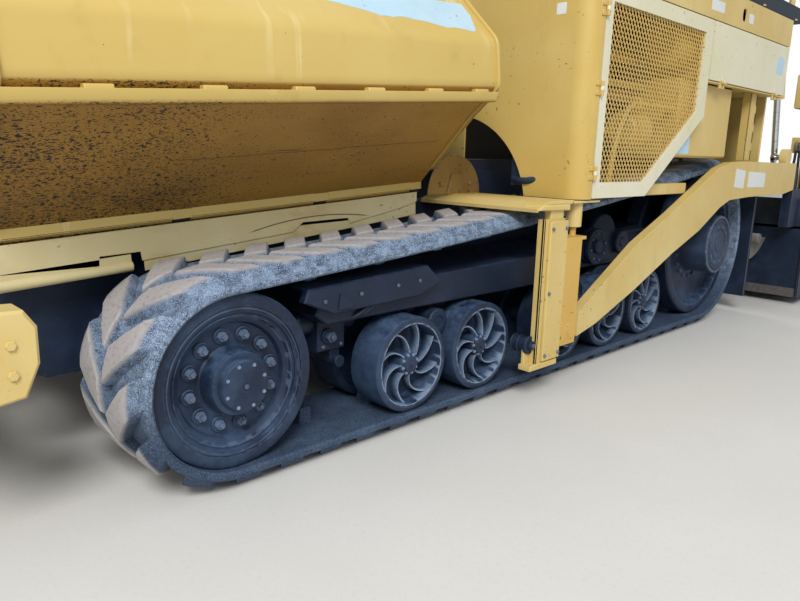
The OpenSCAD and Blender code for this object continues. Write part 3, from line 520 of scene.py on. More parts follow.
def on_belt(s, x, d):
    """Places on a belt, s along its inner face from the idler's foot, x across it and d out from that face:
    a straight lower run, an arc round the drive wheel, a sagging upper run and an arc round the idler."""
    s, x, d = np.broadcast_arrays(np.mod(s, BELT_LENGTH), x, d)
    part = np.searchsorted(LENGTHS[1:-1], s, side="right")
    past = s - LENGTHS[part]
    run = past / (LENGTHS[3] - LENGTHS[2])
    # How far the belt's outward direction is turned from straight up
    tilt = np.select([part == 0, part == 1, part == 2],
                     [np.full(s.shape, -np.pi), past / DRIVE_R - np.pi, REAR_TILT - 2 * SAG_TILT * run],
                     FRONT_TILT + past / IDLER_R)
    out = np.stack([-np.sin(tilt), np.cos(tilt)], -1)
    sag = 4 * SAG * run * (1 - run)
    upper = (TOP_REAR + (TOP_FRONT - TOP_REAR) * run[..., None]
             - sag[..., None] * np.array([-math.sin(RUN_TILT), math.cos(RUN_TILT)]))
    foot = np.stack([IDLER_Y + past, np.full(s.shape, BELT_BASE)], -1)
    where = np.select([(part == 0)[..., None], (part == 1)[..., None], (part == 2)[..., None]],
                      [foot, DRIVE_C + DRIVE_R * out, upper], IDLER_C + IDLER_R * out)
    where = where + d[..., None] * out
    return np.stack([BELT_X + x, where[..., 0] + AXLE_Y, where[..., 1]], -1)


def make_belts():
    """Carcass, lugs and guide blocks of a belt, all bent along its course."""
    half, lip = BELT_W / 2, 0.008
    belt = Piece()
    # Section across the belt, with a thicker bead along both edges
    across = [(-half, lip), (-half + lip, 0), (half - lip, 0), (half, lip), (half, BELT_T - 0.010),
              (half - 0.006, BELT_T - 0.003), (half - 0.016, BELT_T), (half - 0.040, BELT_T - 0.004),
              (0, BELT_T - 0.004), (-half + 0.040, BELT_T - 0.004), (-half + 0.016, BELT_T),
              (-half + 0.006, BELT_T - 0.003), (-half, BELT_T - 0.010)]
    x, d = np.array(across).T
    s = np.linspace(0, BELT_LENGTH, 420, endpoint=False)
    belt.skin(on_belt(s[:, None], x, d), along=True, around=True)
    # Each lug is a tent over a grid: a runs along the belt and b out from its middle, with steep sides and worn rims
    count, length, skew = 56, 0.112, math.tan(math.radians(35))
    a = np.array([-1, -0.86, -0.78, -0.3, 0.3, 0.78, 0.86, 1])
    b = np.array([0, 0.03, 0.06, 0.35, 0.68, 0.84, 0.93, 1.0])
    rise_a = np.array([0, 0.86, 1, 1, 1, 1, 0.86, 0])
    rise_b = np.array([0, 0.88, 1, 1, 1, 0.80, 0.42, 0.0])
    rise = np.minimum.outer(rise_a, rise_b)
    inner, outer = 0.008, half - 0.004
    reach = inner + (outer - inner) * b
    wide = length / 2 * (1 - 0.10 * np.clip((b - 0.68) / 0.32, 0, 1))
    worn = np.clip(rise * 1.25 - 0.25, 0, 1) ** 2
    for row in (1, -1):
        start = (np.arange(count) + (0 if row > 0 else 0.5)) * BELT_LENGTH / count
        s = start[:, None, None] + a[None, :, None] * wide - reach * skew
        d = BELT_T - 0.006 + (LUG_H + 0.0055) * rise
        belt.skin(on_belt(s, row * reach, d), wear=worn)
        belt.skin(on_belt(s, row * reach, BELT_T - 0.012))
    # Guide blocks between the double wheels
    a = np.array([-1, -0.8, 0.8, 1]) * 0.029
    b = np.array([-1, -0.8, 0.8, 1]) * 0.038
    rise = np.minimum.outer([0, 1, 1, 0], [0, 1, 1, 0])
    start = (np.arange(0, count, 2) + 0.25) * BELT_LENGTH / count
    belt.skin(on_belt(start[:, None, None] + a[None, :, None], b, 0.004 - 0.066 * rise))
    both_sides(belt, "{}_belt_dressed", "machine", BELT, ["{}_belt"])


def make_wheels():
    """Road wheels with curved vanes, idler with its bolt ring, and drive wheel with its final drive."""
    # Outer faces of the road wheels; the wear marks on their rim lips give them the lighter worn colour, partly painted
    # highlight
    face = BELT_X + 0.211
    w = Piece()
    for k, y in enumerate((0, 0.440, 1.098, 1.538, 1.978)):
        c = np.array([face, y + AXLE_Y, BELT_BASE + ROAD_R])
        turned = 0.35 * k
        w.turned([
            ([(0, -0.150), (0.15, -0.150), (0.158, -0.159), (0.190, -0.159), (0.1965, -0.152), (0.1965, -0.010),
              (0.1945, -0.004), (0.190, -0.001), (0.178, 0)], 72, 0),
            ([(0.178, 0), (0.1765, -0.002), (0.1735, -0.001), (0.1700, 0.0005)], 72, 0.35),
            ([(0.1700, 0.0005), (0.1675, -0.0005), (0.1660, -0.004)], 72, 0.95),
            ([(0.1660, -0.004), (0.160, -0.060), (0.150, -0.082), (0.060, -0.092), (0.052, -0.090),
              (0.050, -0.030)], 72, 0),
            ([(0.050, -0.030), (0.049, -0.022), (0.046, -0.018), (0.036, -0.017), (0.034, -0.010), (0.028, -0.006),
              (0.010, -0.004), (0.009, 0.001), (0, 0.002)], 32, 0.25)], c)
        # A vane's middle line bends with the square of the way from hub to rim
        t = np.linspace(0, 1, 10)
        r, bend = 0.046 + 0.116 * t, 0.62 * t ** 1.6
        line = np.stack([np.zeros(10), r * np.cos(bend), r * np.sin(bend)], -1)
        depth = 0.040 - 0.012 * np.sin(np.pi * t)
        thick = 0.0026 + 0.002 * t ** 4
        side = np.stack([np.zeros(10), -np.sin(bend + 0.6), np.cos(bend + 0.6)], -1)
        front = -0.016 - 0.010 * np.sin(np.pi * t)
        back = front - 1.4 * depth
        rows = np.stack([line + np.array([1, 0, 0]) * x[:, None] + side * (way * thick)[:, None]
                         for x, way in ((back, -1), (front, -1), (front, 1), (back, 1))], 1)
        # The vanes' front edges carry the wear mark, so they take the lighter worn colour, partly painted highlight
        w.skin(spun(rows + c, c, turned + np.arange(8) * np.pi / 4), around=True, ends=True,
               wear=[0.1, 0.85, 0.85, 0.1])
        heads = around_axle(c, [-0.018, 0.039, 0], turned + np.arange(8) * np.pi / 4 + 0.3)
        studded(w, heads, 0.0055, 0.006, 0.9)
        # Inner half of the double wheel, and the axle
        w.turned([([(0, -0.120), (0.165, -0.120), (0.170, -0.159), (0.190, -0.159), (0.1965, -0.152),
                    (0.1965, -0.008), (0.190, 0), (0.170, 0), (0.165, -0.040), (0.04, -0.050), (0.04, 0.06),
                    (0, 0.06)], 64, 0)], c - [0.263, 0, 0])
        w.turned([([(0, 0), (0.034, 0), (0.034, 0.22), (0, 0.22)], 24, 0)], c - [0.37, 0, 0])

    # Idler; the wear marks on its rings give them the lighter worn colour, partly painted highlight
    c = np.array([face - 0.013, IDLER_Y + AXLE_Y, IDLER_C[1]])
    w.turned([
        ([(0, -0.14), (0.235, -0.14), (0.24, -0.146), (0.284, -0.146), (0.2925, -0.138), (0.2925, -0.012),
          (0.288, -0.004), (0.280, -0.001), (0.262, 0.0), (0.2500, -0.002)], 96, 0),
        ([(0.2500, -0.002), (0.2485, -0.008), (0.2455, -0.008), (0.2440, -0.002), (0.2405, -0.001),
          (0.2385, -0.006)], 96, 0.40),
        ([(0.2385, -0.006), (0.230, -0.008), (0.2285, -0.014), (0.222, -0.016), (0.2195, -0.012)], 96, 0),
        ([(0.2195, -0.012), (0.217, -0.013), (0.213, -0.024)], 96, 0.45),
        ([(0.213, -0.024), (0.196, -0.034), (0.188, -0.050), (0.182, -0.052), (0.118, -0.050), (0.112, -0.045),
          (0.106, -0.020), (0.1045, 0.012)], 96, 0),
        ([(0.1045, 0.012), (0.102, 0.018), (0.094, 0.020), (0.087, 0.021), (0.086, 0.040), (0.084, 0.045)], 64, 0.2),
        ([(0.084, 0.045), (0.082, 0.049), (0.079, 0.0495), (0.030, 0.0500), (0.012, 0.0485), (0, 0.0485)], 48, 0.15),
        ([(0, 0.05), (0.008, 0.05), (0.008, 0.054), (0, 0.054)], 8, 0.5)], c)
    at = around_axle(c, [-0.052, 0.152, 0], np.arange(12) * np.pi / 6 + 0.2)
    ring_seat = lathe([(0.0265, 0), (0.0265, 0.008), (0.0245, 0.010), (0.0225, 0.010), (0.0215, 0.006), (0, 0.006)],
                      (0, 0, 0), 20)
    w.skin(at[:, None, None] + ring_seat, around=True, wear=0.30)
    nut = lathe([(0.0175, 0.004), (0.0175, 0.020), (0.0150, 0.024), (0.0095, 0.024), (0.0095, 0.033), (0.0080, 0.035),
                 (0, 0.035)], (0, 0, 0), 6)
    w.skin(at[:, None, None] + nut, around=True, wear=0.55)
    studded(w, around_axle(c, [0.049, 0.072, 0], np.arange(8) * np.pi / 4 + 0.35), 0.0048, 0.005, 0.95)
    w.turned([([(0, -0.12), (0.24, -0.12), (0.25, -0.146), (0.284, -0.146), (0.2925, -0.138), (0.2925, -0.008),
                (0.284, 0), (0.25, 0), (0.24, -0.04), (0.06, -0.05), (0.06, 0.12), (0, 0.12)], 80, 0)],
             c - [0.250, 0, 0])

    # Drive wheel, its rim open to the side, and the final drive that stands out of it
    c = np.array([face - 0.055, DRIVE_Y + AXLE_Y, DRIVE_C[1]])
    w.turned([
        ([(0, -0.09), (0.41, -0.09), (0.42, -0.104), (0.470, -0.104), (0.4848, -0.094), (0.4848, -0.012),
          (0.478, -0.003), (0.470, 0), (0.432, 0.0), (0.4280, -0.003)], 96, 0),
        ([(0.4280, -0.003), (0.4255, -0.003), (0.4240, -0.008)], 96, 0.5),
        ([(0.4240, -0.008), (0.415, -0.060), (0.390, -0.072), (0.26, -0.066), (0.200, -0.060), (0.194, -0.050),
          (0.1935, 0.110), (0.1915, 0.118)], 96, 0),
        ([(0.1915, 0.118), (0.188, 0.1235), (0.178, 0.1245)], 96, 0.5),
        ([(0.178, 0.1245), (0.170, 0.1245), (0.168, 0.119), (0.162, 0.119), (0.160, 0.1245), (0.150, 0.1245),
          (0.148, 0.120), (0.142, 0.120), (0.140, 0.1245), (0.105, 0.1230), (0.103, 0.119), (0.098, 0.119),
          (0.096, 0.1235), (0.050, 0.1225), (0.047, 0.128), (0.020, 0.129), (0, 0.129)], 80, 0.3)], c)
    studded(w, around_axle(c, [0.1225, 0.122, 0], np.arange(10) * np.pi / 5), 0.007, 0.006, 0.55)
    studded(w, around_axle(c, [-0.066, 0.235, 0], np.arange(20) * np.pi / 10), 0.013, 0.018, 0.4)
    w.turned([([(0, -0.085), (0.41, -0.085), (0.42, -0.104), (0.470, -0.104), (0.4848, -0.094), (0.4848, -0.012),
                (0.47, 0), (0.43, 0), (0.42, -0.04), (0.15, -0.05), (0.15, 0.13), (0, 0.13)], 80, 0)],
             c - [0.208, 0, 0])
    both_sides(w, "{}_wheels_dressed", "machine", WHEEL, ["{}_wheels"])


def softened(node, finish, edge):
    """A CAD node's mesh copied, its doubles merged and flat faces joined, and its edges rounded in a second finish."""
    merge, width, flat, crease, sharpest = 1e-4, 0.003, math.radians(1), math.radians(30), math.radians(35)
    source = frame["nodes"][node]
    mesh = source.data.copy()
    shell = bmesh.new()
    shell.from_mesh(mesh)
    bmesh.ops.remove_doubles(shell, verts=shell.verts, dist=merge)
    bmesh.ops.dissolve_limit(shell, angle_limit=flat, verts=shell.verts, edges=shell.edges, delimit=set())
    shell.to_mesh(mesh)
    shell.free()
    mesh.polygons.foreach_set("use_smooth", np.ones(len(mesh.polygons), bool))
    mesh.set_sharp_from_angle(angle=crease)
    thing = add(mesh, node + "_dressed", source["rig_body"], finish, [node])
    mesh.materials.append(edge)
    rim = thing.modifiers.new("rounded edges", "BEVEL")
    rim.width, rim.segments, rim.limit_method, rim.angle_limit = width, 2, "ANGLE", sharpest
    rim.use_clamp_overlap, rim.harden_normals, rim.material = True, False, 1
    return thing


EDGE = paint("edge_yellow", (226, 196, 124), (232, 206, 142), (150, 112, 60), chips=2.2, grime=0.8, seed=11.0)
EDGE_DARK = dark_metal("edge_black", (70, 74, 82), (112, 108, 100), rust=0.8, seed=3.3)


def make_meshes():
    """Expanded metal of the doors: each strand runs back in zigzags and meets the next one at its corners. A strand
    ends at the door's sloped edge."""
    step_y, step_z = 0.0150, 0.0215
    z = np.arange(0.984, 1.796, step_z)
    end = np.where(z < 1.370, 1.506 + (z - 0.985) * 544 / 380, 2.048 + (z - 1.370) * 0.048)
    i = np.minimum(np.arange(70)[None], np.rint((end - 1.052) / step_y)[:, None])
    across = np.where(i % 2 > 0, 0.5, -0.5) * (step_z - 0.0034) * np.where(np.arange(len(z)) % 2 > 0, -1, 1)[:, None]
    path = np.stack([np.full(i.shape, SIDE_X / 1000 - 0.011), 1.052 + i * step_y + AXLE_Y, z[:, None] + across], -1)
    section = np.array([(-0.0030, 0, -0.0017), (0.0010, 0, -0.0017), (0.0030, 0, 0.0017), (-0.0010, 0, 0.0017)])
    piece = Piece()
    piece.skin(path[:, :, None] + section, around=True, ends=True)
    both_sides(piece, "{}_mesh_dressed", "{}_door", MESH_YELLOW, ["{}_door_mesh"], crease=50)


def signed_power(value, exponent):
    """A power that keeps the sign, which squares a circle's corners for exponents under 1."""
    return np.sign(value) * np.abs(value) ** exponent


def pillow(corners, crown, seams):
    """A stuffed form in a six-sided block given by its eight corners: a rounded box whose faces are crowned, with
    stitched furrows across its upper face where seams says."""
    u = np.linspace(0, 2 * np.pi, 132, endpoint=False)
    v = np.linspace(-np.pi / 2, np.pi / 2, 62)
    x = signed_power(np.cos(v), 0.34)[:, None] * signed_power(np.cos(u), 0.30)
    y = signed_power(np.cos(v), 0.34)[:, None] * signed_power(np.sin(u), 0.30)
    z = signed_power(np.sin(v), 0.34)[:, None] + 0 * x
    bulge = (1 - x ** 2) * (1 - y ** 2)
    furrow = sum(np.exp(-((x - s) / 0.020) ** 2) for s in seams)
    z = z * (1 - crown + crown * bulge ** 0.6) - np.where(z > 0.5, 0.055 * furrow * bulge ** 0.3, 0)
    return in_block(np.stack([x, y, z], -1), corners)


def in_block(unit, corners):
    """Places from -1 to 1 in x, y and z put between a block's eight corners in straight proportion."""
    low, high = (1 - unit) / 2, (1 + unit) / 2
    c = np.asarray(corners, float).reshape(2, 2, 2, 3)
    out = 0
    for i in (0, 1):
        for j in (0, 1):
            for k in (0, 1):
                share = (high if i else low)[..., 0] * (high if j else low)[..., 1] * (high if k else low)[..., 2]
                out = out + share[..., None] * c[i, j, k]
    return out


# The hopper is tilted about the rear end of its wings' hinge lines, which lies here in millimetres
WING_PITCH = math.radians(4)
WING_LEN = 1.890
HINGE_X, HINGE_Y, HINGE_Z = 755, 500, 940


def on_wing(grid):
    """Places in a wing's own frame, its hinge line along y, put into the machine's."""
    x, y, z = np.moveaxis(np.asarray(grid, float), -1, 0)
    c, s = math.cos(WING_PITCH), math.sin(WING_PITCH)
    return np.stack([HINGE_X / 1000 + x, HINGE_Y / 1000 + AXLE_Y + y * c - z * s, HINGE_Z / 1000 + y * s + z * c], -1)


def bent(points, r, n=6):
    """An open line whose inner corners are replaced by n points of an arc that leaves its edges r from the corner."""
    p = np.asarray(points, float)
    closed = rounded(p, r, n).reshape(len(p), n, 2)
    return np.concatenate([p[:1], closed[1:-1].reshape(-1, 2), p[-1:]])


def beside(line, d):
    """An open line moved to its left by d, by the mean of its neighbouring edges' normals."""
    along = np.gradient(line, axis=0)
    along /= np.linalg.norm(along, axis=1, keepdims=True)
    return line + d * np.stack([-along[:, 1], along[:, 0]], -1)


def swept(outline, ys):
    """An outline of places (x, z) at several places along y."""
    outline, ys = np.asarray(outline, float), np.asarray(ys, float)
    return np.stack(np.broadcast_arrays(outline[None, :, 0], ys[:, None], outline[None, :, 1]), -1)


def make_wings():
    """Folded sheet of a hopper wing with soft bends, its end rims, the bar under the outer fold with its tabs, and the
    hinge's tubes. The wear mark is 1 on the side that the mix touches."""
    folds = [(0.032, 0.030), (0.170, 0.162), (0.340, 0.322), (0.430, 0.392), (0.490, 0.442), (0.480, 0.622),
             (0.310, 0.792), (0.130, 0.972)]
    outer = bent(folds, 0.030)
    inner = beside(outer, 0.012)
    wing = Piece()
    y = np.linspace(-WING_LEN, 0, 9)
    for line, mark in ((outer, 0.0), (inner[::-1], 1.0)):
        wing.skin(on_wing(swept(line, y)), wear=mark)
    for pair in ((outer[0], inner[0]), (inner[-1], outer[-1])):
        wing.skin(on_wing(swept(pair, y)))
    for end in (-WING_LEN, 0.0):
        wing.skin(on_wing(np.concatenate([swept(outer, [end]), swept(inner, [end])])))
    # Rims round both ends, each a bar of rounded section carried along the sheet's line
    rim_line = bent([(0.110, 0.104)] + folds[1:], 0.030)
    for end in (-WING_LEN, -0.014):
        out, back = beside(rim_line, -0.014), beside(rim_line, 0.026)
        bevel = beside(rim_line, -0.012)
        corners = [(out, end + 0.002), (out, end + 0.012), (bevel, end + 0.014), (back, end + 0.014), (back, end),
                   (bevel, end)]
        rows = np.stack([swept(line, [at])[0] for line, at in corners], 1)
        wing.skin(on_wing(rows), around=True, ends=True, wear=0.35)
    # Bar under the outer fold, rolled at its lower edge, and its tabs
    bar = rounded([(0.434, 0.380), (0.488, 0.382), (0.501, 0.422), (0.434, 0.422)], (0.003, 0.006, 0.004, 0.003), 3)
    rows = [-WING_LEN + 0.0005, -WING_LEN + 0.004, -0.018, -0.0145]
    wing.skin(on_wing(swept(bar, rows)), around=True, ends=True, wear=0.3)
    tab = rounded([(0.470, 0.414), (0.499, 0.414), (0.4985, 0.4295), (0.491, 0.433), (0.470, 0.433)], 0.002, 2)
    for at in (-1.690, -1.356, -1.036, -0.728, -0.424, -0.150):
        grid = swept(tab, [at, at + 0.003, at + 0.075, at + 0.078])
        grid[[0, -1], :, 0] = 0.470 + (grid[[0, -1], :, 0] - 0.470) * 0.9
        wing.skin(on_wing(grid), around=True, ends=True, wear=0.3)
    # Weld beads that hold the bar, small waves along it
    y = np.linspace(-WING_LEN + 0.02, -0.02, 260)
    bead = np.stack([np.full(260, 0.4475), y, np.full(260, 0.4165)], -1)
    wing.skin(on_wing(carried(ring(0.0036, 6), bead, size=1 + 0.25 * np.sin(y * 420))), around=True, ends=True)
    apron = oblong((0.026, -0.004), (0.032, 0.036), 0.0015, 2)
    wing.skin(on_wing(swept(apron, [-WING_LEN, 0.0])), around=True, ends=True)
    lugs = [-WING_LEN, -WING_LEN * 2 / 3, -WING_LEN / 3, -0.060]
    for a, b in zip(lugs[:-1], lugs[1:]):
        a, b = a + 0.066, b - 0.006
        tube = [(0.0141, a), (0.022, a), (0.024, a + 0.002), (0.024, b - 0.002), (0.022, b), (0.0141, b)]
        wing.skin(on_wing(lathe(tube, (0, 0, 0), 24, 1)), around=True, along=True, wear=0.4)
        wing.skin(on_wing(box((0.0, a, 0.0), (0.034, b, 0.034), 0.002)), around=True, ends=True)
    both_sides(wing, "{}_wing_dressed", "{}_wing", WING, ["{}_wing"], crease=28)


def make_plates():
    """Blank plates where the machine carries signs: a big pale blue one with a torn edge on each wing, and small ones
    on the side panels, hatches, tanks, tow arms and front walls."""
    torn = [(-0.809, 0.137), (-0.770, 0.131), (-0.713, 0.118), (-0.660, 0.108), (-0.589, 0.085), (-0.560, 0.088),
            (-0.531, 0.083), (-0.500, 0.090), (-0.470, 0.093), (-0.420, 0.083), (-0.360, 0.079), (-0.310, 0.066),
            (-0.263, 0.054), (-0.210, 0.060), (-0.160, 0.055), (-0.103, 0.046), (-0.085, 0.062), (-0.046, 0.150),
            (-0.046, 0.222), (-0.809, 0.222)]
    flat = plate(torn, -0.001, 0.0012, 2, 0.0006)
    u = flat[..., 1]
    slope = math.sqrt(0.5)
    grid = np.stack([0.480 - slope * u + slope * flat[..., 2], flat[..., 0], 0.622 + slope * u + slope * flat[..., 2]],
                    -1)
    sign = Piece().skin(on_wing(grid), around=True, ends=True)
    both_sides(sign, "{}_wing_plate", "{}_wing", PALE_BLUE)
    outer = SIDE_X / 1000
    for name, body, x, colour, outlines in (
            ("{}_side_plates", "machine", outer, WHITE,
             [[(2.085, 1.909), (2.258, 1.912), (2.258, 1.968), (2.085, 1.966)],
              [(2.630, 1.914), (2.700, 1.914), (2.700, 1.967), (2.630, 1.967)]]),
            ("{}_hatch_plate", "{}_hatch", outer, PALE_BLUE,
             [[(3.201, 1.679), (3.326, 1.679), (3.326, 1.786), (3.201, 1.786)]]),
            ("{}_tank_plate", "machine", TANK_X / 1000, PALE_BLUE,
             [[(1.952, 1.138), (2.118, 1.138), (2.118, 1.254), (1.952, 1.254)]]),
            ("{}_arm_plates", "screed", outer, WHITE,
             [[(2.722, 0.944), (2.880, 0.930), (2.890, 1.046), (2.730, 1.058)],
              [(2.950, 0.938), (3.262, 0.934), (3.264, 1.030), (2.952, 1.040)]])):
        signs = Piece()
        for outline in outlines:
            at = rounded(np.array(outline) + [AXLE_Y, 0], 0.006, 3)
            signs.skin(plate(at, x - 0.001, x + 0.0010, 0, 0.0004), around=True, ends=True)
        both_sides(signs, name, body, colour)
    front = Piece()
    wall = FRONT_Y / 1000 + AXLE_Y
    front.skin(plate(oblong((1.212, 1.730), (1.262, 1.779), 0.005, 3),
                     wall - 0.001, wall + 0.001, 1, 0.0004), around=True, ends=True)
    both_sides(front, "{}_front_plate", "machine", WHITE)


def make_posts():
    """Tow posts: a channel under a cover plate with its bolts, the bevelled block and foot with a hub, the fender with
    its lip turned down and the barrel of the tow cylinder, and beside the hopper the round guard over the belt."""
    p = Piece()
    p.block((1384, 652, 173), (1396, 823.7, 833), 1.5)
    for y in (652, 812):
        p.block((POST_X, y, 173), (1396, y + 11.7, 833), 2)
    p.slab(oblong((688, 183), (823.7, 825), 5, 3), 1396, SIDE_X, 3)
    p.block((POST_X, 700, 831), (1396, 800, 876), 3)
    p.slab([(588, 874), (830, 868), (830, 896), (614, 896)], 1300, SIDE_X, 5)
    p.slab(oblong((600, 150), (814, 176), 4, 3), 1340, 1406, 3)
    p.block((1344, 612, 170), (POST_X, 668, 262), 3)
    lip = [(585, 881), (650, 905), (690, SILL), (870, SILL), (870, 896), (693, 896), (652, 890), (588, 866)]
    p.slab(lip, FRAME_X, 1400, 2)
    p.block((1285, 860, 896), (1400, 1100, SILL - 6), 2)
    p.spindle([(0, 780), (24, 780), (38, 784), (38, 1116), (34, 1120), (0, 1120)], (1345, 965, 0), 2)
    both_sides(p, "{}_post_dressed", "machine", BODY, ["{}_tow_post"], crease=30)
    guard, radius, (y, z) = Piece(), 190, (705, 908)
    a = np.linspace(math.pi, 0, 25)
    guard.slab(np.column_stack([y + radius * np.cos(a), z + radius * np.sin(a)]), 812, 824, 2.5)
    guard.slab([(640, z), (770, z), (740, 1010), (670, 1010)], 824, 832, 2.5)
    for y in (600, 810):
        guard.rod((823, y, 960), 12, 10, turns=6)
    # The guard's yellow is darkened into painted shade
    both_sides(guard, "{}_belt_guard", "machine", OCHRE_PAINTED_SHADE)
    hub, (y, z) = Piece(), (640, 262)
    hub.spindle([(0, 0), (30, 0), (34, 4), (34, 79), (30, 83), (0, 83)], (1278, y, z), 0)
    for x, w in ((1284, 10), (1314, 14), (1356, 16)):
        hub.spindle([(0, 0), (39, 0), (42, 3), (42, w - 3), (39, w), (0, w)], (x, y, z), 0)
    hub.rod((1369, y, z), 22, 16, turns=6)
    hub.rod((1384, y, z), 11, 12, turns=16, wear=0.6)
    for y, z in ((702, 210), (702, 790), (808, 210), (808, 790), (702, 500)):
        hub.rod((SIDE_X - 1, y, z), 9, 9, turns=6, wear=0.9)
    both_sides(hub, "{}_post_hub", "machine", UNDER)


def make_skirts():
    """Hopper floor, its sides down to the conveyors, and the skirt under each wing's hinge with its two cut-outs, a
    rolled bar at its front, and the hinge's lugs on their pin."""
    c, s = math.cos(WING_PITCH), math.sin(WING_PITCH)

    def tilt(piece):
        """Tilts a piece with the hopper about the hinge line's rear end."""
        for k, points in enumerate(piece.points):
            x, y, z = (points - [0, AXLE_Y, 0]).T
            piece.points[k] = np.stack([x, HINGE_Y / 1000 + AXLE_Y + y * c - z * s, HINGE_Z / 1000 + y * s + z * c], -1)

    edge = [(-1890, -14), (-1890, -102), (-1549, -125), (-1545, -92), (-1405, -96), (-1402, -128), (-767, -112),
            (-715, -78), (-473, -88), (-466, -112), (-160, -80), (-48, -58), (-46, -14)]
    p = Piece()
    p.slab(edge, 796, 804, 1.5)
    # Strip behind its lower edge, which leaves two long recesses open
    strip = [(-1395, -165), (-1395, -122), (-762, -104), (-730, -90), (-480, -99), (-160, -74), (-52, -56), (-52, -120)]
    p.slab(strip, 794, 799, 1)
    p.rod((800, -1890, -140), 18, 450, 1, turns=24)
    p.block((791, -1890, -142), (804, -1440, -100), 2)
    tilt(p)
    both_sides(p, "{}_skirt_dressed", "machine", SKIRT, ["hopper_floor"], crease=30)
    d = Piece()
    d.block((560, -1890, -60), (795, -6, -48), 2)
    d.rod((HINGE_X, -1890, 0), 14, 1890, 1, wear=0.5)
    for y in (-1890, -1260, -630, -60):
        d.rod((HINGE_X, y, 0), 24, 60, 1, wear=0.4)
        d.block((735, y, -55), (747, y + 60, 0), 2)
    tilt(d)
    rear, front = HINGE_Y, -1350
    upper = HINGE_Z - 60 / c
    d.slab([(front, 600), (rear, 600), (rear, upper), (front, upper + (front - rear) * s / c)], 560, 572, 2)
    d.block((-715, 510, 1020), (0, 520, 1650), 2)
    both_sides(d, "{}_hopper_floor_dressed", "machine", DARK, ["hopper_floor"], crease=30)


def make_beam_ends():
    """End brackets of the push beam: a thick profile with chamfered corners, carried along x, and a gusset behind."""
    p = Piece()
    p.slab([(-1482, 440), (-1400, 452), (-1362, 540), (-1362, 640), (-1392, 686), (-1482, 690)], 1110, 1225, 8)
    p.slab([(-1640, 618), (-1362, 618), (-1362, 640), (-1640, 640)], 1060, 1110, 3)
    for z in (520, 600):
        p.rod((1222, -1430, z), 14, 12, turns=6)
    both_sides(p, "{}_beam_end", "machine", BODY)


